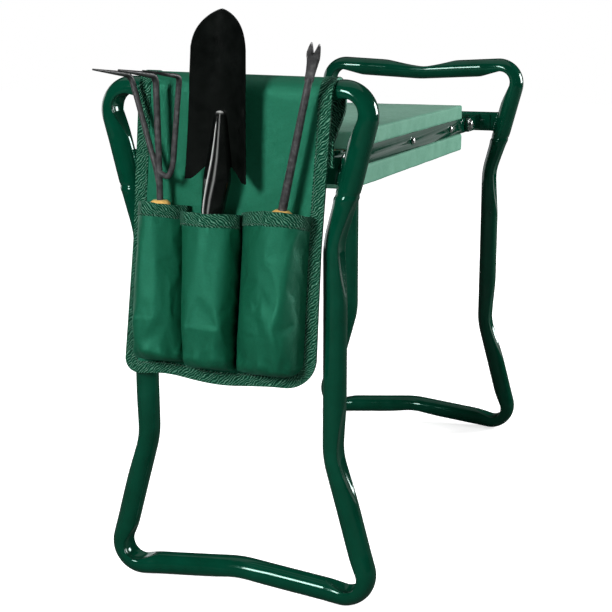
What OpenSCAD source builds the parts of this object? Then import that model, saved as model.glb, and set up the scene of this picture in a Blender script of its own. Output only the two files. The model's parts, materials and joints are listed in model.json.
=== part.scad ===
// Folding garden kneeler seat: a foam pad on two rails, two bent tube leg loops that fold under it,
// and a fabric tool pouch with three hand tools hung over one handle.
// Millimetres, +Z up, X along the pad, the pouch at -X, the floor at z = 0.

/* [Leg loops] */
// Distance between the centre planes of the two leg loops
loop_gap = 598; // [560:1:640]
// How far the top of the handles stands above the seat
handle_up = 54; // [44:1:90]
// Outside diameter of the leg tube
tube_d = 22; // [18:0.5:25]
// Wall of the leg tube
tube_wall = 1.2; // [1:0.1:1.6]
// How far each handle corner stands outside the waist, at the tube's centre line
handle_flare = 34.5; // [28:0.5:42]
// How far each foot corner stands outside the waist, at the tube's centre line
foot_flare = 37.5; // [28:0.5:46]
// Gap between the pad's side and the waist of the leg tube
leg_clear = 5; // [4.5:0.5:12]
// How far the upper waist bend lies below the pivots
waist_drop = 65; // [45:1:90]
// Height of the lower waist bend
waist_low = 146; // [120:1:180]
// Bend radius of the handle and foot corners, at the centre line
corner_r = 21; // [18:1:26]
// Bend radius of the waist bends, at the centre line
waist_r = 90; // [60:5:120]
// Bend radius in the middle of the handle and of the foot bar
bar_r = 120; // [80:5:160]
// How far the middle of the handle lies below its ends
handle_dip = 5.3; // [3:0.1:9]
// How far the middle of the foot bar lies above its ends
foot_rise = 10.6; // [6:0.1:16]
// Depth of the press mark on the inside of each corner
corner_dent = 9; // [4:0.5:9.5]
// Depth of the press mark on top of the handle
handle_dent = 9.5; // [4:0.5:9.5]
// Depth of the press mark under the foot bar
foot_dent = 4.5; // [2:0.5:8]
// Depth of the press mark on the outside of each waist bend
waist_dent = 7; // [3:0.5:9]
// How far a press mark fades out along the tube, to each side
dent_reach = 40; // [32:1:44]

/* [Seat pad] */
// Height of the seat's top face
seat_h = 436; // [390:1:490]
// Length of the pad
pad_l = 414; // [380:1:430]
// Width of the pad
pad_w = 160; // [140:1:180]
// Thickness of the upper foam slab
upper_foam_t = 17; // [12:0.5:24]
// Thickness of the lower foam slab
lower_foam_t = 20; // [14:0.5:26]
// Thickness of the board between the slabs, which is also the height of the rails
core_t = 18; // [15:0.5:20]
// How far the board stops short of the foam at each end
core_inset = 6; // [2:0.5:12]
// Thickness of the side rails
rail_t = 3; // [2:0.5:4]
// How far the rails lie inside the foam's sides
rail_inset = 2; // [1:0.5:4]
// Distance of the outer rail screws from the middle one
screw_pitch = 160; // [120:1:180]
// Radius of the rail screws
screw_r = 2; // [1.5:0.1:2.5]
// How far a rail screw goes into the board
screw_bite = 22; // [12:1:30]

/* [Hinges] */
// Distance from a pivot to the centre plane of its leg loop
hinge_reach = 63; // [58:0.5:68]
// Radius of the pivot bolts
pivot_r = 4; // [3:0.25:5]
// Thickness of the hinge lugs
lug_t = 3; // [2:0.5:4]
// Length of a lug's foot along the cross strap
lug_foot = 16; // [10:0.5:17]
// Height of the cross strap between the legs
strap_h = 24; // [20:0.5:30]
// Thickness of the cross strap
strap_t = 3; // [2:0.5:5]
// How far a rail runs on past its pivot
rail_over = 10; // [9.5:0.5:14]
// Height of the stop lip on top of each rail end
stop_h = 2.5; // [1.5:0.25:4]

/* [Tool pouch] */
// Width of the pouch
pouch_w = 186; // [178:1:192]
// How far the pouch hangs below the top of the handle
pouch_drop = 279; // [250:1:310]
// How far the pocket mouths lie below the top of the handle
mouth_drop = 118; // [110:1:140]
// How far the pockets stand out from the back panel
pocket_depth = 34; // [33:0.5:40]
// Corner radius of a pocket, seen from above
pocket_r = 14; // [8:0.5:20]
// Height of the pocket floors above the binding tape
pocket_up = 10; // [0:0.5:16]
// Thickness of the pouch fabric
fabric_t = 1.5; // [1:0.1:2]
// Width of the binding tape
tape_w = 9; // [7:0.5:12]
// Thickness of the binding tape
tape_t = 0.8; // [0.5:0.1:1.2]
// Radius of the pouch's lower corners
pouch_corner_r = 24; // [16:1:36]
// Height of the swing axis above the handle's lowest point
swing_lift = 9; // [7:0.5:12]
// How far below the handle's axis the flap meets the back panel
flap_drop = 36; // [32:1:42]
// Length of the flap that lies on the back panel
flap_tail = 22; // [16:1:26]
// Thickness of one hook or loop strip
strip_t = 1.5; // [1:0.1:2]

/* [Hand tools] */
// Distance of the tools' axes in front of the back panel
tool_off = 18; // [17:0.5:20]
// Diameter of the handles
grip_d = 20; // [18:0.5:22]
// Radius of the steel tang inside a handle
tang_r = 3.5; // [2.5:0.25:5]
// Length of the tang inside a handle
tang_l = 60; // [40:1:80]
// How far a handle's outline swells and narrows, as a share of its radius
grip_swell = 0.14; // [0.05:0.01:0.18]
// Length of the rounding at a handle's ends
grip_edge = 3; // [2:0.5:4]
// How far the handle ends stand above the pocket mouths
grip_up = 6; // [2:0.5:14]
// How far the trowel's handle lies below the pocket mouths
trowel_sunk = 20; // [10:0.5:30]
// How far the trowel's tip stands above the top of the handle
trowel_up = 60; // [40:1:80]
// Length of the trowel's blade
blade_l = 153; // [140:1:160]
// Width of the trowel's blade
blade_w = 53; // [46:0.5:58]
// Radius that the blade is rolled to
blade_r = 42; // [36:1:60]
// Thickness of the blade
blade_t = 1.4; // [1:0.1:2]
// Lean of the trowel in its pocket
trowel_lean = 3; // [0:0.5:4]
// How far the blade tips forward from the trowel's axis
blade_pitch = 3.4; // [0:0.2:5]
// How far the bottom of the blade's trough lies behind the trowel's axis
trough_back = 6; // [4:0.5:7]
// Radius of the trowel's socket at its handle end
socket_r = 11; // [9:0.5:12.5]
// Height that the socket's rib runs up the blade
rib_h = 66; // [40:1:90]
// Radius of the rib's upper end
rib_r = 4; // [3:0.25:6]
// Height of the scallops beside the socket
scallop_h = 15; // [10:0.5:20]
// Width of a scallop
scallop_w = 16; // [12:0.5:18]
// How far the blade's ears stand out past its sides
ear_out = 3; // [0:0.5:6]
// Length over which the blade narrows to its tip
point_l = 60; // [40:1:80]
// Radius of the cultivator's tines
tine_r = 2.7; // [2:0.1:3.2]
// Width across the cultivator's tines
fan_w = 57; // [44:1:66]
// Length of the cultivator's prongs
prong_l = 51; // [40:1:58]
// How far the prong tips rise above their bends
prong_rise = 6.5; // [2:0.5:12]
// Height of the fan, from where the tines part to their bends
fan_h = 88; // [70:1:98]
// Radius of the prong tips
prong_tip_r = 0.8; // [0.5:0.1:1.5]
// How far the tine bends stand above the top of the handle
tine_up = 2; // [-8:1:15]
// How far the cultivator is turned about its handle
rake_turn = 11; // [0:1:14]
// Length of the weeder's shaft and fork above its handle
weeder_l = 154; // [120:1:165]
// Length of the weeder's fork
fork_l = 34; // [26:1:44]
// Thickness of the weeder's fork
fork_t = 3; // [2:0.25:5]
// Depth of the notch between the fork's points
notch = 12; // [8:0.5:20]
// Width of the weeder's fork
fork_w = 11; // [8:0.5:15]
// Lean of the weeder's handle in its pocket
weeder_lean = 6; // [0:0.5:6]
// How far the weeder's shaft is bent from its handle
weeder_bend = 6.4; // [0:0.2:10]

/* [Hidden] */
$fn = 48;

// Clearances
running_play = 0.05;
side_gap = 0.3;
seat_gap = 0.3;
weld_gap = 0.1;

// Seat stack
upper_z = seat_h - upper_foam_t;
core_z = upper_z - core_t;
lower_z = core_z - lower_foam_t;
pivot_z = core_z + core_t / 2;

// Leg loop: its outline is a chain of bends in the plane of the loop
loop_h = seat_h + handle_up;
waist_top = pivot_z - waist_drop;
tube_r = tube_d / 2;
tube_sides = 16;
bore_sides = 8;
dent_spread = 0.25;
waist_y = pad_w / 2 + leg_clear + tube_r;
handle_y = waist_y + handle_flare;
foot_y = waist_y + foot_flare;
shoulder_z = loop_h - tube_r;
handle_lean = atan2(handle_flare, shoulder_z - waist_top);
foot_lean = atan2(foot_flare, waist_low - tube_r);
// A corner's tangent length lifts its sharp point past the straight bar that runs into it
function overshoot(lean, half_w, dip) =
    let (k = corner_r * tan((90 + lean) / 2) / half_w) dip * k / (1 - k);
handle_corner_z = shoulder_z + overshoot(handle_lean, handle_y, handle_dip);
foot_corner_z = tube_r - overshoot(foot_lean, foot_y, foot_rise);
handle_mid_z = shoulder_z - handle_dip;
foot_mid_z = tube_r + foot_rise;

// Rails, lugs and fasteners
rail_out = pad_w / 2 - rail_inset;
rail_in = rail_out - rail_t;
hinge_x = loop_gap / 2 - hinge_reach;
lug_in = rail_out + side_gap;
lug_out = lug_in + lug_t;
washer_in = lug_out + side_gap;
washer_t = 1;
washer_r = pivot_r + 4;
bolt_head_h = 3.5;
bolt_head_r = pivot_r + 3;
bolt_crown = 2;
nut_h = 5;
nut_r = pivot_r + 3.5;
bolt_tail = 2;
screw_head_r = screw_r + 3;
screw_head_h = 2.5;
screw_crown = 1.5;
stop_l = rail_over - 2;

// Pouch sleeve round the handle
swing_z = handle_mid_z - tube_r + swing_lift;
bar_top_at_edge = handle_mid_z + (handle_corner_z - handle_mid_z) * pouch_w / 2 / handle_y + tube_r;
sleeve_r = bar_top_at_edge + seat_gap - swing_z;
panel_off = sleeve_r + fabric_t;
pocket_pitch = (pouch_w - 2 * tape_w) / 3;
hem_w = pocket_pitch - seat_gap;
pocket_w = hem_w - 2 * tape_t;
pouch_low = loop_h - pouch_drop;
pocket_low = pouch_low + tape_w + pocket_up;
pocket_top = loop_h - mouth_drop;
sleeve_steps = 24;

// Reach along X, which sets the pad's middle so that the origin lies under the middle of the whole
fan_x = fan_w / 2 * sin(rake_turn);
front_reach = loop_gap / 2 + panel_off + tool_off + fan_x + prong_l * cos(rake_turn);
back_reach = loop_gap / 2 + tube_r + dent_spread * max(corner_dent, handle_dent, foot_dent, waist_dent);
seat_x = (front_reach - back_reach) / 2;
near_x = seat_x - loop_gap / 2;
far_x = seat_x + loop_gap / 2;
panel_x = near_x - panel_off;
tool_x = panel_x - tool_off;
trowel_y = 4;
cultivator_y = pocket_pitch + 3;
weeder_y = -pocket_pitch - 4;
trowel_tip = loop_h + trowel_up;
tine_top = loop_h + tine_up;
grip_top = pocket_top + grip_up;
trowel_grip_top = pocket_top - trowel_sunk;

// Handles stand on the pocket floors
pocket_floor = pocket_low + fabric_t + seat_gap;
grip_steps = 12;
function grip_r(share) = grip_d / 2 * (1 - grip_swell + grip_swell * sin(450 * share + 30));
foot_r = grip_r(1) - grip_edge;
grip_l = grip_top - pocket_floor;
trowel_grip_l = (trowel_grip_top - pocket_floor - foot_r * sin(trowel_lean)) / cos(trowel_lean);
weeder_grip_l = (grip_l - foot_r * sin(weeder_lean)) / cos(weeder_lean);
// Beads where rods meet are a little thicker than the rods
bead = 0.2;

// Trowel blade: its foot above the handle, and half widths above its ears, drawn in to a rounded point
blade_foot = (trowel_tip - trowel_grip_top) / cos(trowel_lean) - blade_l * cos(blade_pitch);
blade_steps = 14;
point_fullness = 3.6;
tip_fullness = 1.1;
ogive = [for (i = [0 : blade_steps]) let (t = i / blade_steps)
    [blade_w / 2 * pow(1 - pow(t, point_fullness), tip_fullness), blade_l - point_l * (1 - t)]];
ear_w = blade_w / 2 + ear_out;
ear_tip = 2;
scallop_steps = 6;
// How far a cutting solid runs past what it cuts
past = 1;

// Colours
enamel = [0.0, 0.25, 0.17];
foam = [0.45, 0.63, 0.54];
zinc = [0.75, 0.76, 0.78];
cloth = [0.10, 0.42, 0.30];
tape = [0.16, 0.37, 0.28];
dark_steel = [0.27, 0.27, 0.28];
black_steel = [0.04, 0.04, 0.04];
beech = [0.87, 0.72, 0.40];
board = [0.60, 0.46, 0.30];

// Placing and extruding helpers

module at_seat() {
    translate([seat_x, 0, 0]) children();
}

module both_sides() {
    children();
    mirror([0, 1, 0]) children();
}

module at_pivots() {
    for (end = [-1, 1])
        at_seat() translate([end * hinge_x, 0, pivot_z]) both_sides() children();
}

// Draws a (y, z) outline as a plate that starts at x = 0
module extrude_x(length) {
    rotate([90, 0, 90]) linear_extrude(length) children();
}

// A round bar of the given length along +Y
module bar_y(r, length) {
    rotate([-90, 0, 0]) cylinder(r = r, h = length);
}

// A round rod between two points, which may taper
module rod(from, to, r1, r2) {
    run = to - from;
    translate(from)
        rotate([0, acos(run[2] / norm(run)), atan2(run[1], run[0])])
            cylinder(r1 = r1, r2 = r2, h = norm(run));
}

// Leg loops

function unit(v) = v / norm(v);
function left_of(v) = [-v[1], v[0]];
function turned(v, angle) =
    [v[0] * cos(angle) - v[1] * sin(angle), v[0] * sin(angle) + v[1] * cos(angle)];
function turn_from(a, b) = atan2(a[0] * b[1] - a[1] * b[0], a[0] * b[0] + a[1] * b[1]);

// Each bend: [sharp corner in (y, z), bend radius, dent depth, rings to each side within the bend]
side_bends = [
    [[handle_y, handle_corner_z], corner_r, corner_dent, 3],
    [[waist_y, waist_top], waist_r, waist_dent, 1],
    [[waist_y, waist_low], waist_r, waist_dent, 1],
    [[foot_y, foot_corner_z], corner_r, corner_dent, 3],
];
function other_side(bend) = [[-bend[0][0], bend[0][1]], bend[1], bend[2], bend[3]];
loop_bends = concat(
    [[[0, handle_mid_z], bar_r, handle_dent, 1]],
    side_bends,
    [[[0, foot_mid_z], bar_r, foot_dent, 1]],
    [for (i = [len(side_bends) - 1 : -1 : 0]) other_side(side_bends[i])]
);

// Where the tube's centre line lies, and which way it heads, at distance d along it from a bend's middle
function along_bend(corner, into, out, r, d) =
    let (
        turn = turn_from(into, out),
        half_arc = r * abs(turn) / 2 * PI / 180,
        tangent = r * tan(abs(turn) / 2),
        start = corner - into * tangent,
        swept = turn * (d + half_arc) / (2 * half_arc),
        heading = turned(into, swept),
        centre = start + left_of(into) * sign(turn) * r
    )
    d < -half_arc ? [start + into * (d + half_arc), into]
    : d > half_arc ? [corner + out * (tangent + d - half_arc), out]
    : [centre - left_of(heading) * sign(turn) * r, heading];

// One ring of the tube's skin: round, with the side inside the bend pressed in
function tube_ring(place, turn, dent, r, sides) =
    let (
        into_left = turn > 0 ? r - dent : r,
        into_right = turn > 0 ? r : r - dent,
        half_w = r + dent * dent_spread
    )
    [for (k = [0 : sides - 1])
        let (
            a = 360 * k / sides,
            side = cos(a) > 0 ? into_left : into_right,
            p = place[0] + left_of(place[1]) * side * cos(a)
        )
        [half_w * sin(a), p[0], p[1]]];

function fade(d) = (1 + cos(180 * min(1, abs(d) / dent_reach))) / 2;

// Skins at the bore are pressed in as far as the outside is, so the wall stays even
function tube_rings(r, sides) = [
    for (i = [0 : len(loop_bends) - 1])
        let (
            n = len(loop_bends),
            bend = loop_bends[i],
            into = unit(bend[0] - loop_bends[(i + n - 1) % n][0]),
            out = unit(loop_bends[(i + 1) % n][0] - bend[0]),
            turn = turn_from(into, out),
            half_arc = bend[1] * abs(turn) / 2 * PI / 180,
            shoulder = (half_arc + dent_reach) / 2,
            stops = concat(
                [-dent_reach, -shoulder],
                [for (k = [-bend[3] : bend[3]]) half_arc * k / bend[3]],
                [shoulder, dent_reach]
            )
        )
        for (d = stops)
            tube_ring(along_bend(bend[0], into, out, bend[1], d), turn, bend[2] * fade(d), r, sides)
];

// A closed skin through a ring of rings
module closed_skin(rings) {
    n = len(rings);
    sides = len(rings[0]);
    points = [for (ring = rings) for (p = ring) p];
    faces = [
        for (i = [0 : n - 1])
            for (k = [0 : sides - 1])
                let (
                    a = i * sides + k,
                    b = i * sides + (k + 1) % sides,
                    c = (i + 1) % n * sides + (k + 1) % sides,
                    d = (i + 1) % n * sides + k
                )
                for (face = [[a, c, b], [a, d, c]]) face
    ];
    polyhedron(points, faces);
}

module tube_loop() {
    difference() {
        closed_skin(tube_rings(tube_r, tube_sides));
        closed_skin(tube_rings(tube_r - tube_wall, bore_sides));
    }
}

module near_tube_loop() {
    color(enamel) translate([near_x, 0, 0]) tube_loop();
}

module far_tube_loop() {
    color(enamel) translate([far_x, 0, 0]) tube_loop();
}

// Cross straps and hinge lugs

// Inside face of the leg at a height between the waist and the handle
function leg_inside(z) =
    let (slope = (handle_y - waist_y) / (handle_corner_z - waist_top))
    waist_y + (z - waist_top) * slope - tube_r * sqrt(1 + slope * slope);

module cross_strap() {
    low = pivot_z - strap_h / 2;
    high = pivot_z + strap_h / 2;
    low_y = leg_inside(low) - weld_gap;
    high_y = leg_inside(high) - weld_gap;
    translate([-strap_t / 2, 0, 0])
        extrude_x(strap_t)
            polygon([[-low_y, low], [low_y, low], [high_y, high], [-high_y, high]]);
}

module near_cross_strap() {
    color(enamel) translate([near_x, 0, 0]) cross_strap();
}

module far_cross_strap() {
    color(enamel) translate([far_x, 0, 0]) cross_strap();
}

// The two lugs of the loop at +X, seen from the pad's middle
module lug_pair() {
    arm_l = hinge_reach - strap_t / 2;
    at_seat() translate([hinge_x, 0, pivot_z]) both_sides() difference() {
        translate([0, lug_in, 0]) {
            bar_y(core_t / 2, lug_t);
            translate([0, 0, -core_t / 2]) cube([arm_l, lug_t, core_t]);
            translate([arm_l - lug_t, 0, -core_t / 2]) cube([lug_t, lug_foot, core_t]);
        }
        bar_y(pivot_r + running_play, pad_w);
    }
}

module far_hinge_lugs() {
    color(enamel) lug_pair();
}

module near_hinge_lugs() {
    color(enamel) at_seat() mirror([1, 0, 0]) translate([-seat_x, 0, 0]) lug_pair();
}

// Seat

module slab(length, width, z, thickness) {
    at_seat() translate([-length / 2, -width / 2, z]) cube([length, width, thickness]);
}

module upper_foam() {
    color(foam) slab(pad_l, pad_w, upper_z, upper_foam_t);
}

module lower_foam() {
    color(foam) slab(pad_l, pad_w, lower_z, lower_foam_t);
}

module at_screws() {
    for (i = [-1 : 1])
        at_seat() translate([i * screw_pitch, 0, pivot_z]) both_sides() children();
}

module core_board() {
    color(board) difference() {
        slab(pad_l - 2 * core_inset, 2 * rail_in, core_z, core_t);
        at_screws() translate([0, rail_in - screw_bite, 0]) bar_y(screw_r + running_play, pad_w);
    }
}

// The rail at +Y; a lip on each end stops the lug's top edge when the leg stands open
module rail() {
    half_l = hinge_x + rail_over;
    difference() {
        at_seat() {
            translate([-half_l, rail_in, core_z]) cube([2 * half_l, rail_t, core_t]);
            for (end = [0, 1]) mirror([end, 0, 0]) translate([half_l - stop_l, rail_in, upper_z]) {
                cube([stop_l, rail_t, side_gap + stop_h]);
                translate([0, 0, side_gap]) cube([stop_l, lug_out - rail_in, stop_h]);
            }
        }
        at_pivots() bar_y(pivot_r + running_play, pad_w);
        at_screws() bar_y(screw_r + running_play, pad_w);
    }
}

module rail_left() {
    color(enamel) rail();
}

module rail_right() {
    color(enamel) mirror([0, 1, 0]) rail();
}

module rail_screws() {
    color(zinc) at_screws() {
        translate([0, rail_in - screw_bite, 0]) bar_y(screw_r, rail_t + screw_bite);
        translate([0, rail_out, 0]) rotate([-90, 0, 0])
            cylinder(r1 = screw_head_r, r2 = screw_head_r - screw_crown, h = screw_head_h);
    }
}

// Pivots

module pivot_bolts() {
    color(zinc) at_pivots() {
        translate([0, rail_in - nut_h - bolt_tail, 0])
            bar_y(pivot_r, washer_in + washer_t - (rail_in - nut_h - bolt_tail));
        translate([0, washer_in + washer_t, 0]) rotate([-90, 0, 0])
            cylinder(r1 = bolt_head_r, r2 = bolt_head_r - bolt_crown, h = bolt_head_h);
    }
}

module pivot_washers() {
    color(zinc) at_pivots() translate([0, washer_in, 0]) difference() {
        bar_y(washer_r, washer_t);
        bar_y(pivot_r + running_play, washer_t);
    }
}

module pivot_nuts() {
    color(zinc) at_pivots() translate([0, rail_in - nut_h, 0]) difference() {
        rotate([-90, 0, 0]) cylinder(r = nut_r, h = nut_h, $fn = 6);
        bar_y(pivot_r + running_play, nut_h);
    }
}

// Tool pouch

// Side view of the back panel and its sleeve, seen along Y, with the swing axis at the origin.
// The flap leaves the sleeve along a tangent and ends flat behind the panel.
module panel_side() {
    tail_x = -sleeve_r + 2 * strip_t;
    tail_low = -flap_drop - flap_tail;
    low = pouch_low - swing_z;
    mid_r = sleeve_r + fabric_t / 2;
    meet = [tail_x + fabric_t / 2, -flap_drop];
    leave_at = atan2(meet[1], meet[0]) + acos(mid_r / norm(meet));
    leave = [cos(leave_at), sin(leave_at)];
    slope = -leave[0] / leave[1];
    outer_z = panel_off * leave[1] + (tail_x + fabric_t - panel_off * leave[0]) * slope;
    inner_z = sleeve_r * leave[1] + (tail_x - sleeve_r * leave[0]) * slope;
    arc = [for (k = [0 : sleeve_steps]) let (a = 180 + (leave_at - 180) * k / sleeve_steps) [cos(a), sin(a)]];
    outer = concat([[-panel_off, low]], panel_off * arc,
        [[tail_x + fabric_t, outer_z], [tail_x + fabric_t, tail_low]]);
    inner = concat([[tail_x, tail_low], [tail_x, inner_z]],
        [for (k = [sleeve_steps : -1 : 0]) sleeve_r * arc[k]], [[-sleeve_r, low]]);
    polygon(concat(outer, inner));
}

// Front view of the pouch with rounded lower corners, as (y, z), inset all round its lower edges
module pouch_front(inset, high) {
    half = pouch_w / 2 - inset;
    low = pouch_low + inset;
    r = pouch_corner_r - inset;
    translate([-half, low + r]) square([2 * half, high - low - r]);
    translate([-half + r, low]) square([2 * (half - r), r + 1]);
    for (side = [-1, 1]) translate([side * (half - r), low + r]) circle(r);
}

module pouch_back_panel() {
    color(cloth) intersection() {
        translate([near_x, 0, swing_z]) rotate([90, 0, 0])
            linear_extrude(pouch_w, center = true) panel_side();
        translate([near_x - 2 * panel_off, 0, 0])
            extrude_x(4 * panel_off) pouch_front(0, swing_z + 2 * panel_off);
    }
}

// Outline of a pocket from above: its back is open on the panel, its front corners are round
module pocket_top_view(width, depth, r) {
    translate([-(depth - r), -width / 2]) square([depth - r, width]);
    translate([-depth, -width / 2 + r]) square([depth, width - 2 * r]);
    for (side = [-1, 1]) translate([-(depth - r), side * (width / 2 - r)]) circle(r);
}

// What the pouch's rounded lower edge leaves of the pockets, inset from that edge
module within_pouch(inset) {
    intersection() {
        children();
        translate([-2 * pocket_depth, 0, pocket_up])
            extrude_x(3 * pocket_depth) pouch_front(inset, pocket_top + tape_w);
    }
}

// A pocket at the given place along Y
module pocket(place) {
    translate([panel_x, 0, 0]) difference() {
        within_pouch(tape_w) translate([0, place, 0]) linear_extrude(pocket_top)
            pocket_top_view(pocket_w, pocket_depth, pocket_r);
        within_pouch(tape_w + fabric_t) translate([0, place, 0]) linear_extrude(pocket_top + tape_w)
            pocket_top_view(pocket_w - 2 * fabric_t, pocket_depth - fabric_t, pocket_r - fabric_t);
    }
}

module pouch_pocket_left() {
    color(cloth) pocket(pocket_pitch);
}

module pouch_pocket_middle() {
    color(cloth) pocket(0);
}

module pouch_pocket_right() {
    color(cloth) pocket(-pocket_pitch);
}

module pouch_binding() {
    color(tape) translate([panel_x - tape_t, 0, 0]) extrude_x(tape_t) difference() {
        pouch_front(0, swing_z);
        pouch_front(tape_w, swing_z + tape_w);
    }
}

module pocket_hems() {
    color(tape) for (i = [-1 : 1])
        translate([panel_x, i * pocket_pitch, pocket_top - tape_w]) linear_extrude(tape_w) difference() {
            pocket_top_view(hem_w, pocket_depth + tape_t, pocket_r + tape_t);
            pocket_top_view(pocket_w, pocket_depth, pocket_r);
        }
}

// A strip of fastening tape between the back panel and the flap, the given distance behind the panel
module fastening_strip(behind) {
    translate([near_x - sleeve_r + behind, -pouch_w / 2 + tape_w, swing_z - flap_drop - flap_tail])
        cube([strip_t, pouch_w - 2 * tape_w, flap_tail]);
}

module hook_strip() {
    color("black") fastening_strip(0);
}

module loop_strip() {
    color("black") fastening_strip(strip_t);
}

// Hand tools

// A turned handle along -Z from its top at the origin, bored for the tang
module grip(length) {
    swell = [for (i = [0 : grip_steps]) let (t = i / grip_steps)
        [grip_r(t), -grip_edge - (length - 2 * grip_edge) * t]];
    difference() {
        rotate_extrude()
            polygon(concat([[0, 0], [grip_r(0) - grip_edge, 0]], swell, [[foot_r, -length], [0, -length]]));
        translate([0, 0, -tang_l - bead]) cylinder(r = tang_r + running_play, h = tang_l + 2 * bead);
    }
}

module at_trowel() {
    translate([tool_x, trowel_y, trowel_grip_top]) rotate([trowel_lean, 0, 0]) children();
}

// Outline of the blade as (y, z) above its ears
module blade_outline() {
    scallop = [for (k = [0 : scallop_steps]) let (a = 180 * k / scallop_steps)
        [ear_w - ear_tip - scallop_w / 2 * (1 - cos(a)), scallop_h * sin(a)]];
    half = concat([[0, blade_l]],
        [for (i = [blade_steps - 1 : -1 : 0]) ogive[i]], [[ear_w, 0]],
        scallop, [[0, 0]]);
    polygon(half);
    mirror([1, 0]) polygon(half);
}

module trowel_blade() {
    color(black_steel) at_trowel() {
        translate([trough_back, 0, blade_foot]) rotate([0, -blade_pitch, 0]) intersection() {
            translate([-blade_r, 0, -past]) difference() {
                cylinder(r = blade_r, h = blade_l + 2 * past);
                translate([0, 0, -past]) cylinder(r = blade_r - blade_t, h = blade_l + 4 * past);
            }
            translate([-blade_r, 0, 0]) extrude_x(blade_r + past) blade_outline();
        }
        cylinder(r1 = socket_r, r2 = rib_r, h = blade_foot + rib_h);
        translate([0, 0, -tang_l]) cylinder(r = tang_r, h = tang_l + past);
    }
}

module trowel_handle() {
    color(beech) at_trowel() grip(trowel_grip_l);
}

module cultivator_tines() {
    join_z = tine_top - fan_h;
    color(dark_steel) translate([tool_x, cultivator_y, 0]) rotate([0, 0, -rake_turn]) {
        rod([0, 0, grip_top - tang_l], [0, 0, join_z], tang_r, tang_r);
        translate([0, 0, join_z]) sphere(r = tang_r + bead);
        for (i = [-1 : 1]) {
            bend = [0, i * fan_w / 2, tine_top];
            rod([0, 0, join_z], bend, tine_r, tine_r);
            translate(bend) sphere(r = tine_r + bead);
            rod(bend, bend + [-prong_l, 0, prong_rise], tine_r, prong_tip_r);
        }
    }
}

module cultivator_handle() {
    color(beech) translate([tool_x, cultivator_y, grip_top]) grip(grip_l);
}

module at_weeder() {
    translate([tool_x, weeder_y, grip_top]) rotate([weeder_lean, 0, 0]) children();
}

// Half of the fork, as (y, z) above the end of the shaft
module half_fork() {
    half = fork_w / 2;
    tip = half / 4;
    polygon([[0, 0], [tang_r, 0], [half, fork_l - tip], [half - tip, fork_l], [0, fork_l - notch]]);
}

module weeder_fork() {
    shaft_l = weeder_l - fork_l;
    color(dark_steel) at_weeder() {
        translate([0, 0, -tang_l]) cylinder(r = tang_r, h = tang_l);
        sphere(r = tang_r + bead);
        rotate([weeder_bend, 0, 0]) {
            cylinder(r = tang_r, h = shaft_l + tang_r);
            translate([-fork_t / 2, 0, shaft_l]) extrude_x(fork_t) {
                half_fork();
                mirror([1, 0]) half_fork();
            }
        }
    }
}

module weeder_handle() {
    color(beech) at_weeder() grip(weeder_grip_l);
}

upper_foam();
lower_foam();
core_board();
rail_left();
rail_right();
rail_screws();
pivot_bolts();
pivot_washers();
pivot_nuts();
near_tube_loop();
near_cross_strap();
near_hinge_lugs();
far_tube_loop();
far_cross_strap();
far_hinge_lugs();
pouch_back_panel();
pouch_pocket_left();
pouch_pocket_middle();
pouch_pocket_right();
pouch_binding();
pocket_hems();
hook_strip();
loop_strip();
trowel_blade();
trowel_handle();
cultivator_tines();
cultivator_handle();
weeder_fork();
weeder_handle();
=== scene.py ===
# %% [markdown]
# # A folding garden kneeler, dressed over its frame
#
# The frame holds every piece of the kneeler at its real size, in metres, with +Z up and the tool
# pouch on the -X side. The pieces there are plain solids. This lesson gives them what the real
# ones show: bent tube with press marks, foam, sewn cloth, turned wood and forged steel.

# %% Load the frame and keep its box
import json
import math

import bpy
import numpy as np
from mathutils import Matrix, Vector
from mathutils.kdtree import KDTree

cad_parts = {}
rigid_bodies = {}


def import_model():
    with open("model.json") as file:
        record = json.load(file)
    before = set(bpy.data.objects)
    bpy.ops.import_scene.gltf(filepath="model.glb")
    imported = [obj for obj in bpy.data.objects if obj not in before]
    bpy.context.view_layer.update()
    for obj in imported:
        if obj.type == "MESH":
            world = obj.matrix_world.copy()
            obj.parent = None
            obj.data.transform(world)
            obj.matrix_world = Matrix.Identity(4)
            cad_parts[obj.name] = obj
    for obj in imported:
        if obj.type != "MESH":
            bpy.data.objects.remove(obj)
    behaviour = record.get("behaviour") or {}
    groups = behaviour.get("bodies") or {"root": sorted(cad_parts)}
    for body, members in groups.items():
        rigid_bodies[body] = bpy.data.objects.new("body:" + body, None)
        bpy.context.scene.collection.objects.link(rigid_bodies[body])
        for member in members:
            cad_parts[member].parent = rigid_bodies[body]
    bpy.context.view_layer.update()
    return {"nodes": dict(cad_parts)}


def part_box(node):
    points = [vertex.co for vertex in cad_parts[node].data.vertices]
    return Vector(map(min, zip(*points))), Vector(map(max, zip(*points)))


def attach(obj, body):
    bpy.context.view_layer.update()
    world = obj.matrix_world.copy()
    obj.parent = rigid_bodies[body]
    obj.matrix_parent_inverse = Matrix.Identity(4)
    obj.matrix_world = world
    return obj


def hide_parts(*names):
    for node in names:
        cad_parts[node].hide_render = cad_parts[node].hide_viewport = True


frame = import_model()
nodes = frame["nodes"]
mm = 0.001

# %% [markdown]
# ## Camera
#
# The picture was taken from a little above the seat, off the pouch's end, with a long lens. The
# camera's place was solved from the loops' outlines, so a render lies over the picture.

# %% Camera
bpy.ops.object.select_all(action="DESELECT")
bpy.ops.object.camera_add(
    location=(-1.3730, -0.4935, 0.5454),
    rotation=(math.radians(77.71), 0.0, math.radians(-69.08)),
)
camera = bpy.context.object
camera.name = "picture_camera"
camera.data.lens = 78.87
camera.data.sensor_width = 36.0
bpy.context.scene.camera = camera
bpy.context.scene.view_settings.view_transform = "Standard"
print("camera at", tuple(round(c, 3) for c in camera.location))

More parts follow.
